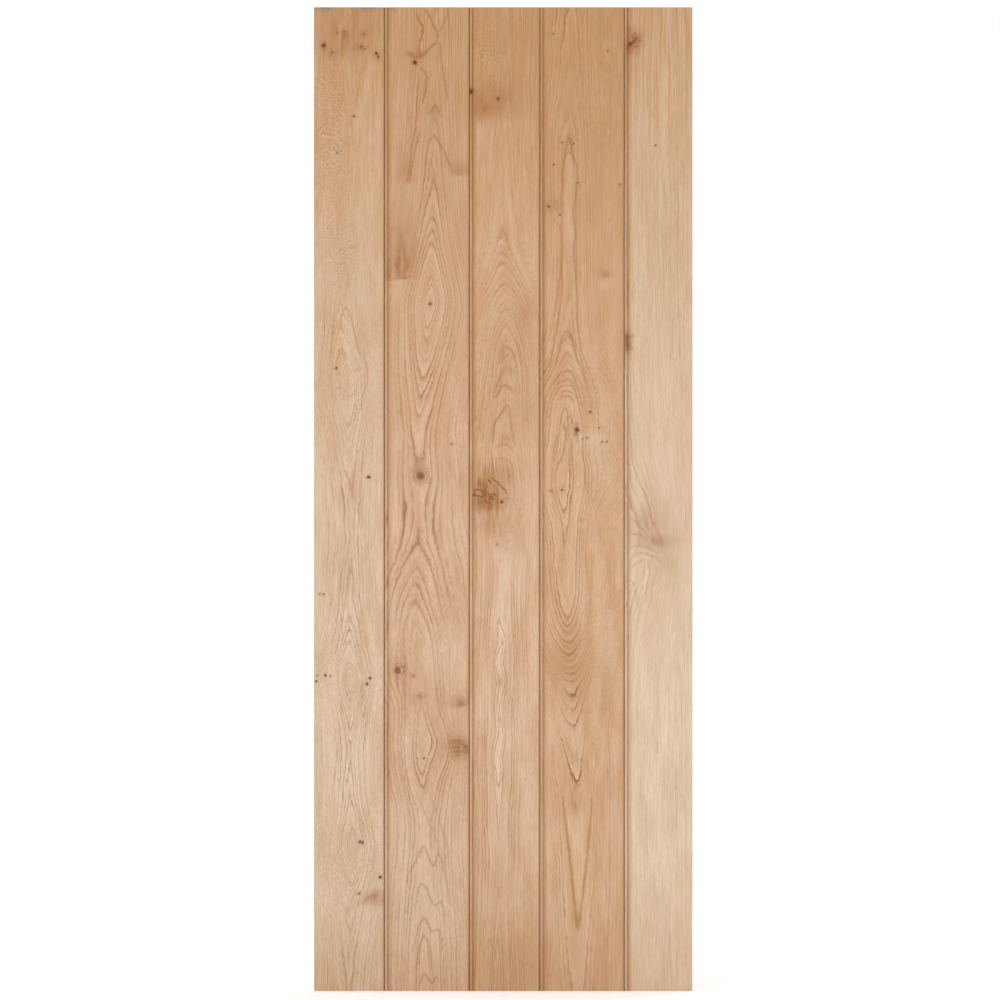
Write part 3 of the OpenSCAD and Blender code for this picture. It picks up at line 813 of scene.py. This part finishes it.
# %% Right edge board
BOARDS["right_edge_board"] = board = {
    "slot": "pale_board_oak",
    "tones": tones("#e5ccb1", "#dec3a6", "#eddac3", "#a67a4a"),
    "rings": dict(ring_mm=5.2, point=2.0, teeth_mm=1.4, line=0.8, aside=0.35),
    "amber": 0.8,
    "pin_level": 0.7,
    "heart": [
        (0, 195, 60), (586, 195, 60), (908, 203, 56), (1130, 203, 60), (1392, 199, 60), (1981, 195, 60),
    ],
    "knots": [(260, 1910, 7, 0.3, 0.7, 0.0)],
    "pins": [(256, 1907, 4.2), (307, 1703, 2.0)],
    "bends": [(300, 925, 56, 150, 46)],
}
tell_board("right_edge_board", "heart", "knots", "pins", "bends")

# %% Marks and patches of the right edge board
board["marks"] = {
    "knot": [
        (0.9, 3.2, (252, 1900), (260, 1910), (273, 1921)), (0.6, 1.7, (258, 1926), (262, 1916)),
        (0.5, 1.5, (264, 1931), (268, 1922)), (0.5, 1.6, (266, 1912), (279, 1914)),
        (0.4, 1.6, (262, 1902), (272, 1904)), (0.4, 1.6, (254, 1940), (256, 1930)),
        (0.7, 3.2, (249, 1325), (249, 1288)), (0.35, 2.0, (256, 1316), (263, 1321)),
        (0.3, 2.0, (257, 1298), (263, 1290)),
    ],
    "dark": [(0.4, 1.8, (252, 1320), (252, 1314)), (0.5, 2.0, (252, 1301), (252, 1291))],
    "pale": [
        (0.5, 2.6, (258, 863), (269, 870), (281, 876), (293, 871), (302, 866)),
        (0.5, 2.8, (271, 846), (277, 856), (287, 862), (289, 846), (286, 818), (280, 790)),
        (0.45, 2.6, (258, 884), (276, 889), (295, 884), (306, 878)),
        (0.4, 2.6, (258, 940), (274, 930), (290, 914)), (0.4, 2.6, (268, 955), (282, 938), (297, 912)),
    ],
    "brown": [
        (0.24, 2.0, (292, 969), (298, 953), (308, 931), (318, 909)),
        (0.24, 2.0, (283, 953), (291, 931), (306, 903)),
        (0.24, 2.0, (258, 953), (271, 941), (288, 921), (303, 902)),
        (0.24, 2.0, (257, 921), (273, 919), (291, 911)),
        (0.24, 2.0, (257, 895), (278, 896), (298, 890), (311, 882)),
        (0.24, 2.0, (257, 872), (268, 880), (281, 884), (293, 880), (308, 874), (316, 863)),
        (0.24, 2.0, (257, 853), (268, 859), (278, 868)),
        (0.24, 2.0, (292, 875), (301, 872), (293, 860), (296, 842), (291, 825), (288, 807), (289, 780)),
        (0.24, 2.0, (283, 868), (284, 850), (282, 830)),
        (0.24, 2.0, (308, 842), (302, 825), (298, 807), (299, 780)),
        (0.24, 2.0, (257, 830), (264, 817), (269, 797), (272, 775)),
    ],
}
board["patches"] = {
    "brown": [
        (318, 905, 36, 12, 0.26), (296, 896, 26, 18, 0.12), (262, 1890, 20, 44, 0.3),
        (264, 1916, 16, 20, 0.6), (253, 1897, 6, 9, 0.7), (252, 1305, 9, 26, 0.6),
        (295, 935, 40, 40, 0.25), (330, 860, 24, 30, 0.15),
    ],
    "calm": [(314, 260, 70, 260, 0.4), (288, 872, 40, 70, 1.0)],
    "bold": [(278, 1000, 36, 50, 0.4)],
    "amber": [(300, 960, 60, 60, 0.2), (314, 1500, 80, 130, 0.1), (314, 800, 80, 150, 0.12)],
}
tell_board("right_edge_board", "marks", "patches")

# %% [markdown]
# ## Board shape
# A board is one section drawn along its length: a bead and its quirk, a flat face, eased arrises, a
# groove on one edge and a tongue on the other. The section is a loop of edges, with true arcs on the
# bead and the arrises. A Geometry Nodes tree draws it up the leaf, because a sweep is one rule for all
# five boards. The face gets rows and columns of its own, which carry the figure.

# %% Lines of a section
FACE_STEP = 3.0 * MM
BACK_STEP = 8.0 * MM


def arc(centre, radius, start, end, steps):
    """Points on an arc, with angles in degrees from +X towards +Y."""
    angles = np.radians(np.linspace(start, end, steps + 1))
    return [(centre[0] + radius * math.cos(a), centre[1] + radius * math.sin(a)) for a in angles]


def stretch(start, end, step):
    """Points inside a straight stretch, without its ends."""
    count = max(2, round(math.dist(start, end) / step))
    return [tuple(np.array(start) + (np.array(end) - start) * i / count) for i in range(1, count)]


print(f"columns {FACE_STEP / MM:.0f} mm apart on the face and {BACK_STEP / MM:.0f} mm on the back")

# %% Section of a board
TONGUE_L = 7.0 * MM
TONGUE_T = 6.0 * MM
TONGUE_DEPTH = 8.0 * MM
TONGUE_PLAY = 0.1 * MM
GROOVE_DEPTH = 7.2 * MM
BEAD_R = 3.0 * MM
QUIRK_W = 2.5 * MM
ARRIS = 1.0 * MM
BEAD_STEPS = 16
ARRIS_STEPS = 4


def board_section(low, high, has_tongue, has_groove):
    """Points round a board, from the left end of its face."""
    left = low.x + (TONGUE_L if has_tongue else 0.0)
    right, face, seat = high.x, low.y, high.y
    points = []
    if has_tongue:
        points += arc((left + BEAD_R, face + BEAD_R), BEAD_R, 180, 360, BEAD_STEPS)
        quirk_end = left + 2 * BEAD_R + QUIRK_W
        points.append((quirk_end, face + BEAD_R))
        points += arc((quirk_end + ARRIS / 2, face + ARRIS / 2), ARRIS / 2, 180, 270, ARRIS_STEPS)
    else:
        points += arc((left + ARRIS, face + ARRIS), ARRIS, 180, 270, ARRIS_STEPS)
    points += stretch(points[-1], (right - ARRIS, face), FACE_STEP)
    points += arc((right - ARRIS, face + ARRIS), ARRIS, 270, 360, ARRIS_STEPS)
    if has_groove:
        top = face + TONGUE_DEPTH - TONGUE_PLAY
        under = face + TONGUE_DEPTH + TONGUE_T + TONGUE_PLAY
        points += [(right, top), (right - GROOVE_DEPTH, top), (right - GROOVE_DEPTH, under), (right, under)]
    points += arc((right - ARRIS, seat - ARRIS), ARRIS, 0, 90, ARRIS_STEPS)
    points += stretch(points[-1], (left + ARRIS, seat), BACK_STEP)
    points += arc((left + ARRIS, seat - ARRIS), ARRIS, 90, 180, ARRIS_STEPS)
    if has_tongue:
        under = face + TONGUE_DEPTH + TONGUE_T
        points += [(left, under), (left - TONGUE_L, under)]
        points += [(left - TONGUE_L, face + TONGUE_DEPTH), (left, face + TONGUE_DEPTH)]
    return points


print(f"bead {2 * BEAD_R / MM:.0f} mm, quirk {QUIRK_W / MM:.1f} mm, tongue {TONGUE_L / MM:.0f} mm")

# %% A tree that draws a section up the leaf
ROW_STEP = 6.0 * MM


def new_tree(name, inputs, output):
    """A geometry tree, and the keys by which a modifier sets its inputs."""
    tree = bpy.data.node_groups.new(name, "GeometryNodeTree")
    keys = {}
    for socket, kind in inputs.items():
        made = tree.interface.new_socket(socket, in_out="INPUT", socket_type="NodeSocket" + kind)
        keys[socket] = made.identifier
    tree.interface.new_socket(output, in_out="OUTPUT", socket_type="NodeSocketGeometry")
    return tree, keys


sweep, sweep_keys = new_tree("draw_board", {
    "Section": "Geometry", "Length": "Float", "Row step": "Float", "Oak": "Material",
}, "Board")
given = add(sweep, "NodeGroupInput").node.outputs
loop = add(sweep, "GeometryNodeMeshToCurve", [given["Section"]])
top = add(sweep, "ShaderNodeCombineXYZ", {"Z": given["Length"]})
rise = add(sweep, "GeometryNodeCurvePrimitiveLine", {"Start": (0, 0, 0), "End": top})
rise = add(sweep, "GeometryNodeResampleCurve", {"Curve": rise, "Length": given["Row step"]}, mode="LENGTH")
drawn = add(sweep, "GeometryNodeCurveToMesh", {"Curve": rise, "Profile Curve": loop, "Fill Caps": True})
drawn = add(sweep, "GeometryNodeRealizeInstances", [drawn])
drawn = add(sweep, "GeometryNodeSetMaterial", {"Geometry": drawn, "Material": given["Oak"]})
add(sweep, "NodeGroupOutput", [drawn])
print("board tree takes", ", ".join(sweep_keys))

# %% Run a tree and hand over its piece
SMOOTH_ANGLE = math.radians(35)
pieces = []


def baked(name, mesh, tree, keys, values):
    """Runs a geometry tree on a mesh and returns the result as a plain object."""
    source = bpy.data.objects.new(name, mesh)
    scene.collection.objects.link(source)
    modifier = source.modifiers.new("tree", "NODES")
    modifier.node_group = tree
    for socket, value in values.items():
        modifier[keys[socket]] = value
    bpy.context.view_layer.update()
    made = bpy.data.meshes.new_from_object(source.evaluated_get(bpy.context.evaluated_depsgraph_get()))
    source.modifiers.clear()
    source.data = made
    bpy.data.meshes.remove(mesh)
    made.name = name
    return source


def hand_over(piece, node):
    """Smooths a piece, and puts it in the place of a node of the solid model."""
    piece.data.shade_smooth()
    piece.data.set_sharp_from_angle(angle=SMOOTH_ANGLE)
    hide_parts(node)
    pieces.append(piece)


print(f"edges over {math.degrees(SMOOTH_ANGLE):.0f} degrees stay sharp")

# %% [markdown]
# ## Making the boards
# The swept board gets three more things. Faces round its knots, pins and marks are cut finer, and a
# pin's heart is pressed in, because a pin knot is a small open hole. Then every point is told where it
# grew, and how much of each tint it has, with painted highlight and shade along the bead, the quirk and
# each joint edge. Knots push the grain aside on both sides, as a stone does in a stream.

# %% Finer faces where something small is drawn
FINE_CUTS = 4
FACE_NORMAL = -0.9      # a face on the front has a normal whose Y is lower
KNOT_REACH = 1.9        # radii to the last ring of a knot
PIN_MARGIN = 4.0        # millimetres of fine faces beyond a pin
MARK_MARGIN = 3.4       # and beyond a mark
MARK_STEP = 5.0         # millimetres between the spots along a mark


def strokes(board):
    """Each mark with its kind."""
    return [(kind, *mark) for kind, marks in board["marks"].items() for mark in marks]


def fine_spots(board):
    """Middles of everything that needs a finer face, with how far it reaches."""
    spots = [(x, z, KNOT_REACH * size) for x, z, size, *_ in board["knots"]]
    spots += [(x, z, size + PIN_MARGIN) for x, z, size in board["pins"]]
    for _, _, half_w, *places in strokes(board):
        for a, b in zip(places, places[1:]):
            steps = max(2, round(math.dist(a, b) / MARK_STEP))
            middles = [np.array(a) + np.subtract(b, a) * t for t in np.linspace(0, 1, steps)]
            spots += [(*middle, 2 * half_w + MARK_MARGIN) for middle in middles]
    return np.array(spots)


def refine(mesh, spots):
    """Cuts the face finer round the spots."""
    shape = bmesh.new()
    shape.from_mesh(mesh)
    bmesh.ops.recalc_face_normals(shape, faces=shape.faces)
    edges = set()
    for face in shape.faces:
        if face.normal.y < FACE_NORMAL:
            middle = face.calc_center_median() / MM
            if np.any(np.hypot(spots[:, 0] - middle.x, spots[:, 1] - middle.z) < spots[:, 2]):
                edges.update(face.edges)
    bmesh.ops.subdivide_edges(shape, edges=list(edges), cuts=FINE_CUTS, use_grid_fill=True)
    shape.to_mesh(mesh)
    shape.free()


print(f"fine faces are {FACE_STEP / MM / (FINE_CUTS + 1):.1f} mm wide")

# %% Soft forms and rough edges
HEART_SMOOTH = 16.0     # millimetres over which the kinks of a heart line are rounded
PAST_END = 100.0        # millimetres that a line is drawn on beyond the leaf
LATTICE = 64            # lumps of noise before it repeats


def along(heights, points, column):
    """A value along the leaf, through given points, with its kinks rounded."""
    padded = [(*p, 1.0)[:4] for p in points]
    fine = np.arange(-PAST_END, leaf_h / MM + PAST_END)
    values = np.interp(fine, [p[0] for p in padded], [p[column] for p in padded])
    offsets = np.arange(-3 * HEART_SMOOTH, 3 * HEART_SMOOTH + 1)
    weights = np.exp(-0.5 * (offsets / HEART_SMOOTH) ** 2)
    values = np.pad(values, len(offsets) // 2, mode="edge")
    return np.interp(heights, fine, np.convolve(values, weights / weights.sum(), mode="valid"))


def bell(x, z, centre, half_w, half_h):
    """A soft hill, 1 in its middle."""
    return np.exp(-((x - centre[0]) / half_w) ** 2 - ((z - centre[1]) / half_h) ** 2)


def rough(x, z, size, seed=3):
    """Smooth noise from -1 to 1 with lumps of one size."""
    lattice = np.random.default_rng(seed).uniform(-1, 1, (LATTICE, LATTICE))
    i, j = np.floor(x / size).astype(int), np.floor(z / size).astype(int)
    f, g = x / size - i, z / size - j
    f, g = f * f * (3 - 2 * f), g * g * (3 - 2 * g)
    i, j, right, up = i % LATTICE, j % LATTICE, (i + 1) % LATTICE, (j + 1) % LATTICE
    near = lattice[i, j] * (1 - f) + lattice[right, j] * f
    far = lattice[i, up] * (1 - f) + lattice[right, up] * f
    return near * (1 - g) + far * g


print("kinks rounded over", HEART_SMOOTH, "mm")

# %% Knots and pins
KNOT_RINGS = 3          # rings to a radius
KNOT_ROUGH, KNOT_LUMPS = 0.12, 8.0      # how uneven a knot is, and the size of its lumps in millimetres
PIN_ROUGH, PIN_LUMPS = 0.45, 2.5        # the same for a pin
PIN_HALO = 0.45         # share of knot wood round a pin


def draw_knots(board, x, z, lay):
    """Lays down knots with a core and rings, and pins with a dark heart."""
    for kx, kz, size, _, core, rings in board["knots"]:
        out = np.hypot(x - kx, z - kz) / size * (1 + KNOT_ROUGH * rough(x, z, KNOT_LUMPS))
        ringed = np.abs(np.cos(KNOT_RINGS * np.pi * out)) ** 3
        lay("knot", core * np.clip((0.7 - out) / 0.25, 0, 1))
        lay("knot", rings * ringed * np.clip(KNOT_REACH - out, 0, 1) * (out > 0.5))
        lay("knot", 0.2 * max(core, rings) * np.exp(-(out / 1.4) ** 2))
    for px, pz, size in board["pins"]:
        out = np.hypot(x - px, z - pz) / size * (1 + PIN_ROUGH * rough(x, z, PIN_LUMPS))
        level = board["pin_level"] * min(1.0, 0.4 + 0.2 * size)
        lay("dark", level * np.clip((1.15 - out) / 0.65, 0, 1))
        lay("knot", PIN_HALO * np.exp(-(out / 1.5) ** 2))


print(sum(len(board["knots"]) + len(board["pins"]) for board in BOARDS.values()), "knots and pins to draw")

# %% Marks
MARK_WANDER = 1.3       # millimetres that a mark strays from its path
MARK_LUMPS = 5.0        # millimetres along which it does
MARK_FADE = 0.5         # share that a mark loses at its ends


def draw_marks(board, x, z, lay):
    """Lays down soft lines along given paths, fainter at their ends."""
    wx = x + MARK_WANDER * rough(x, z, MARK_LUMPS)
    wz = z + MARK_WANDER * rough(x, z, MARK_LUMPS, seed=4)
    for kind, share, half_w, *places in strokes(board):
        whole = sum(math.dist(a, b) for a, b in zip(places, places[1:]))
        done = 0.0
        for a, b in zip(places, places[1:]):
            run = np.subtract(b, a)
            part = np.clip(((wx - a[0]) * run[0] + (wz - a[1]) * run[1]) / np.dot(run, run), 0, 1)
            away = np.hypot(wx - a[0] - part * run[0], wz - a[1] - part * run[1])
            ends = (2 * (done + part * math.dist(a, b)) / whole - 1) ** 4
            lay(kind, share * (1 - MARK_FADE * ends) * np.exp(-(away / half_w) ** 2))
            done += math.dist(a, b)


print(sum(len(strokes(board)) for board in BOARDS.values()), "marks to draw")

# %% Tints of each point
# Painted light and shade at a joint: kind, share, millimetres from the edge, half width, and how square
# the band is. Pale and amber on the bead paint the light it catches, amber and brown in the quirk paint
# its shade, and a pale band where the bead meets the joint lightens the shade of the gap.
BEAD_PAINTED_LIGHT_AND_SHADE = [
    ("amber", 0.22, 3.0, 2.2, 4), ("amber", 0.45, 9.5, 3.0, 2), ("brown", 0.14, 9.5, 3.0, 2),
    ("pale", 0.1, 3.0, 2.2, 4), ("pale", 0.3, 0.0, 1.4, 2),
]
# The edge that meets the bead is darker: painted shade in amber and brown.
EDGE_PAINTED_SHADE = [("amber", 0.8, 0.0, 2.0, 2), ("brown", 0.34, 0.0, 1.8, 2), ("brown", 0.12, 0.0, 3.6, 2)]
CUT_SOFT = 6.0          # millimetres over which a patch is cut off
CUT_ROUGH = 5.0         # millimetres that the cut strays
CUT_LUMPS = 11.0        # millimetres along which it does
BROWN_ROUGH = 0.5       # how uneven a brown patch is
BROWN_LUMPS = 6.0       # millimetres across a lump of it, which is four times as high
FACE_SKIN = 8.0         # millimetres behind the face where knots and browns have died away


def wood_and_painted_tints(board, x, y, z, joints):
    """Shares of each tint. The painted joints are a list of edges with their bands of painted light and
    shade.
    """
    tints = {kind: 0 * x for kind in ("stain", "curl", "bold", "calm", "knot", "dark", "pale", "brown")}

    def lay(kind, values):
        tints[kind] = np.maximum(tints[kind], values)

    draw_knots(board, x, z, lay)
    draw_marks(board, x, z, lay)
    tints["knot"] = tints["knot"] * (1 - tints["pale"])
    tints["amber"] = board["amber"] * along(z, AMBER_FADE, 1)
    # Painted highlight and shade along the bead, the quirk and the edge of each joint
    for edge, bands in joints:
        for kind, share, at, half_w, square in bands:
            tints[kind] = tints[kind] + share * np.exp(-((x - edge - at) / half_w) ** square)
    for kind, patches in board["patches"].items():
        for px, pz, half_w, half_h, share, *cut in patches:
            patch = share * bell(x, z, (px, pz), half_w, half_h)
            if cut:
                edge = cut[0] + CUT_ROUGH * rough(x, z, CUT_LUMPS)
                patch = patch * np.clip((z - edge) / CUT_SOFT, 0, 1)
            if kind == "brown":
                patch = patch * (1 + BROWN_ROUGH * rough(x, z / 4, BROWN_LUMPS))
            tints[kind] = tints[kind] + patch
    on_face = np.clip(1 - (y - face_y / MM) / FACE_SKIN, 0, 1)
    for kind in ("knot", "dark", "brown", "stain"):
        tints[kind] = tints[kind] * on_face
    return {kind: np.clip(values, 0, 1) for kind, values in tints.items()}


print(len(BEAD_PAINTED_LIGHT_AND_SHADE) + len(EDGE_PAINTED_SHADE), "bands of tint at each joint")

# %% Place of growth of each point
PIT_DEPTH = 0.8         # millimetres that the darkest wood is sunk
PIT_SKIN = 0.1          # millimetres behind the face where a point still counts as on it
PUSH_W, PUSH_H = 2.4, 3.5       # radii of a knot that its push on the grain reaches


def place_of_growth(board, x, y, z):
    """Where each point grew: across from the heart, behind it, and up."""
    across = (x - along(z, board["heart"], 1)) * along(z, board["heart"], 3)
    for kx, kz, size, push, *_ in board["knots"]:
        across -= push * (x - kx) * bell(x, z, (kx, kz), PUSH_W * size, PUSH_H * size)
    for bx, bz, half_w, half_h, shift in board["bends"]:
        across -= shift * bell(x, z, (bx, bz), half_w, half_h)
    return np.stack([across, (y - face_y / MM) - along(z, board["heart"], 2), z], axis=1)


def tell_growth(mesh, board, joints):
    """Stores where each point grew, how much of each tint it has, painted light and shade at each joint
    too, and sinks the dark pits.
    """
    co = np.empty(len(mesh.vertices) * 3)
    mesh.vertices.foreach_get("co", co)
    x, y, z = co.reshape(-1, 3).T / MM
    place = mesh.attributes.new("grown_at", "FLOAT_VECTOR", "POINT")
    place.data.foreach_set("vector", place_of_growth(board, x, y, z).ravel())
    tints = wood_and_painted_tints(board, x, y, z, joints)
    for kind, values in tints.items():
        mesh.attributes.new(kind, "FLOAT", "POINT").data.foreach_set("value", values)
    y = y + np.where(y < face_y / MM + PIT_SKIN, PIT_DEPTH * tints["dark"], 0.0)
    mesh.vertices.foreach_set("co", (np.stack([x, y, z], axis=1) * MM).ravel())


print("pits up to", PIT_DEPTH, "mm deep")

# %% Boards
for order, (name, board) in enumerate(BOARDS.items()):
    low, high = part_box(name)
    has_tongue, has_groove = order > 0, order < len(BOARDS) - 1
    section = board_section(low, high, has_tongue, has_groove)
    outline = bpy.data.meshes.new(name + "_section")
    links = [(i, (i + 1) % len(section)) for i in range(len(section))]
    outline.from_pydata([(x, y, 0.0) for x, y in section], links, [])
    piece = baked(name + "_sawn", outline, sweep, sweep_keys, {
        "Length": leaf_h, "Row step": ROW_STEP, "Oak": oak("oak_" + name, board["tones"], **board["rings"]),
    })
    # Painted light and shade at each joint: on the bead side and on the grooved edge
    joints = []
    if has_tongue:
        joints.append(((low.x + TONGUE_L) / MM, BEAD_PAINTED_LIGHT_AND_SHADE))
    if has_groove:
        joints.append((high.x / MM, EDGE_PAINTED_SHADE))
    refine(piece.data, fine_spots(board))
    tell_growth(piece.data, board, joints)
    hand_over(piece, name)
    corners = np.array(piece.bound_box)
    off = np.abs(np.array([corners.min(0), corners.max(0)]) - np.array([low, high])).max() / MM
    print(name, len(piece.data.polygons), "faces, off the frame by", off, "mm")

# %% [markdown]
# ## Ledges and braces
# These are planed bars of the same oak, and the solid model already has their chamfers and toothed
# ends, so they keep their meshes and only get a finish. The grain of a bar runs along it, so a Mapping
# node turns the leaf's coordinates until its Z lies along the bar.

# %% Finish of the bars
BAR_TONES = tones("#dab894", "#cea783", "#dfc09f", "#96653c")
BAR_RING = 6.0          # millimetres from one ring to the next
BAR_WANDER = 46.0       # millimetres that the heart strays
BAR_REACH = 420.0       # millimetres along the bar in which it does
BARS = {
    # place of the heart across and behind the middle of the bar, in millimetres
    "top_ledge": (18.0, 36.0),
    "middle_ledge": (-40.0, 50.0),
    "bottom_ledge": (30.0, 24.0),
    "upper_brace": (-22.0, 40.0),
    "lower_brace": (34.0, 60.0),
}


def bar_direction(mesh):
    """Angle of a bar above X, from the direction in which its mesh is longest."""
    points = np.array([v.co for v in mesh.vertices])[:, [0, 2]]
    direction = np.linalg.svd(points - points.mean(0), full_matrices=False)[2][0]
    return math.atan2(direction[1] * np.sign(direction[0]), abs(direction[0]))


def finish_node(name, material):
    """Gives a node of the solid model its finish."""
    mesh = nodes[name].data
    mesh.materials.clear()
    mesh.materials.append(material)


for name, (heart_across, heart_behind) in BARS.items():
    rise = bar_direction(nodes[name].data)
    low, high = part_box(name)
    middle = (low + high) / 2 / MM
    across_middle = middle.x * math.sin(rise) - middle.z * math.cos(rise)
    shift = (-across_middle - heart_across, -middle.y - heart_behind, 0.0)
    finish_node(name, oak("oak_" + name, BAR_TONES, BAR_RING, grown_at=(shift, rise - math.pi / 2),
                          wander_mm=BAR_WANDER, reach_mm=BAR_REACH))
    print(name, f"grain rises {math.degrees(rise):.1f} degrees")

# %% [markdown]
# ## Pellets
# A pellet is a short plug of oak, glued over a screw and planed flush. It was cut across a board, so
# its grain shows, and no two have the same tone or lie the same way. One pellet is turned as a mesh,
# and a Geometry Nodes tree sets a copy on each screw, with a turn and a tone from a fixed seed. The
# places come from the solid model: each of its pellets is a separate island.

# %% Places of the pellets
WELD = 0.001 * MM


def island_centres(mesh):
    """Middles of the separate solids in a mesh of loose triangles."""
    shape = bmesh.new()
    shape.from_mesh(mesh)
    bmesh.ops.remove_doubles(shape, verts=shape.verts, dist=WELD)
    left = set(shape.verts)
    centres = []
    while left:
        island, edge_of_search = set(), [left.pop()]
        while edge_of_search:
            vertex = edge_of_search.pop()
            island.add(vertex)
            linked = {edge.other_vert(vertex) for edge in vertex.link_edges} & left
            left -= linked
            edge_of_search.extend(linked)
        corners = np.array([v.co for v in island])
        centres.append(tuple((corners.min(0) + corners.max(0)) / 2))
    shape.free()
    return sorted(centres)


pellet_places = {name: island_centres(nodes[name + "_pellets"].data) for name in BARS}
print(sum(map(len, pellet_places.values())), "pellets")

# %% One pellet
PELLET_R = 5.15 * MM    # a little over the hole, as a tight plug swells
PELLET_T = 7.0 * MM
PELLET_PROUD = 0.12 * MM
PELLET_EDGE = 0.3 * MM
PELLET_SIDES = 40

foot = -PELLET_T / 2
crown = PELLET_T / 2 + PELLET_PROUD
outline = [
    (0.0, crown), (PELLET_R - PELLET_EDGE, crown), (PELLET_R, crown - PELLET_EDGE), (PELLET_R, foot),
    (0.0, foot),
]
shape = bmesh.new()
verts = [shape.verts.new((radius, height, 0.0)) for radius, height in outline]
edges = [shape.edges.new(pair) for pair in zip(verts, verts[1:])]
bmesh.ops.spin(shape, geom=verts + edges, cent=(0, 0, 0), axis=(0, 1, 0), angle=2 * math.pi,
               steps=PELLET_SIDES)
bmesh.ops.remove_doubles(shape, verts=shape.verts, dist=WELD)
bmesh.ops.recalc_face_normals(shape, faces=shape.faces)
plug_mesh = bpy.data.meshes.new("plug")
shape.to_mesh(plug_mesh)
shape.free()
plug = bpy.data.objects.new("plug", plug_mesh)
scene.collection.objects.link(plug)
print(f"pellet {2 * PELLET_R / MM:.1f} mm wide, {len(plug_mesh.polygons)} faces")

# %% A tree that sets pellets
PELLET_TURN = 0.35      # radians that a pellet may lie askew
PELLET_AMBER = 0.9      # most amber that a pellet has
RANDOM_LOW, RANDOM_HIGH, RANDOM_OUT = 2, 3, 1   # sockets of a Random Value node that gives floats

setting, setting_keys = new_tree("set_pellets", {
    "Places": "Geometry", "Plug": "Object", "Seed": "Int", "Oak": "Material",
}, "Pellets")
given = add(setting, "NodeGroupInput").node.outputs
copy = add(setting, "GeometryNodeObjectInfo", {"Object": given["Plug"]}, out="Geometry")
turn, tone = (
    add(setting, "FunctionNodeRandomValue", {RANDOM_LOW: low, RANDOM_HIGH: high, "Seed": given["Seed"]},
        out=RANDOM_OUT)
    for low, high in ((-PELLET_TURN, PELLET_TURN), (0.0, PELLET_AMBER))
)
turn = add(setting, "ShaderNodeCombineXYZ", {"Y": turn})
stood = add(setting, "GeometryNodeInstanceOnPoints", {
    "Points": given["Places"], "Instance": copy, "Rotation": turn,
})
stood = add(setting, "GeometryNodeStoreNamedAttribute", {"Geometry": stood, "Name": "amber", "Value": tone},
            data_type="FLOAT", domain="INSTANCE")
stood = add(setting, "GeometryNodeRealizeInstances", [stood])
stood = add(setting, "GeometryNodeSetMaterial", {"Geometry": stood, "Material": given["Oak"]})
add(setting, "NodeGroupOutput", [stood])
print("pellet tree takes", ", ".join(setting_keys))

# %% Set the pellets
PELLET_SEED = 7
PELLET_TONES = dict(BAR_TONES, pale="#c79f74", warm="#b98e62")
PELLET_RING = 2.6       # millimetres from one ring to the next
PELLET_HEART = (0.0, 90.0, 0.0)         # millimetres that the heart lies off the leaf's middle
PELLET_WANDER = 30.0    # millimetres that it strays

pellet_oak = oak("oak_pellet", PELLET_TONES, PELLET_RING, grown_at=(PELLET_HEART, -math.pi / 2),
                 wander_mm=PELLET_WANDER)
for order, (name, places) in enumerate(pellet_places.items()):
    node = name + "_pellets"
    marks = bpy.data.meshes.new(node + "_places")
    marks.from_pydata(places, [], [])
    piece = baked(node + "_planed", marks, setting, setting_keys, {
        "Plug": plug, "Seed": PELLET_SEED + order, "Oak": pellet_oak,
    })
    hand_over(piece, node)
    print(node, len(places), "pellets")
bpy.data.objects.remove(plug)

# %% [markdown]
# ## Screws
# The screws are sealed under the pellets and can't be seen, but the model holds them, so they get the
# finish of yellow zinc plating: a metal with a cloudy yellow cast, duller in some places than others.

# %% Finish of the screws
ZINC_CLOUD = 4 * MM     # size of the clouds in the plating
ZINC_ROUGH = (0.25, 0.4)

zinc = bare_material("yellow_zinc_plate")
tree = zinc.node_tree
spot = add(tree, "ShaderNodeTexCoord", out="Object")
cloud = add(tree, "ShaderNodeTexNoise", {"Vector": spot, "Scale": 1 / ZINC_CLOUD, "Detail": 2.0})
cast = lay_tones(partial(add, tree), linear("#cdbb7a"), [(cloud, linear("#b9b6a0"))])
grit = add(tree, RANGE, [cloud, *NOISE_SPAN, *ZINC_ROUGH])
metal = add(tree, "ShaderNodeBsdfPrincipled", {"Base Color": cast, "Metallic": 1.0, "Roughness": grit})
add(tree, "ShaderNodeOutputMaterial", [metal])
for name in BARS:
    finish_node(name + "_screws", zinc)
print("screws finished in", len(BARS), "nodes")

# %% [markdown]
# ## Handing over
# The leaf is one rigid body, so every new piece rides on its root. The box of the dressed model is then
# measured again.

# %% Ride on the leaf and finish
for piece in pieces:
    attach(piece, "root")
low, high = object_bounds()
print(len(pieces), "new pieces")
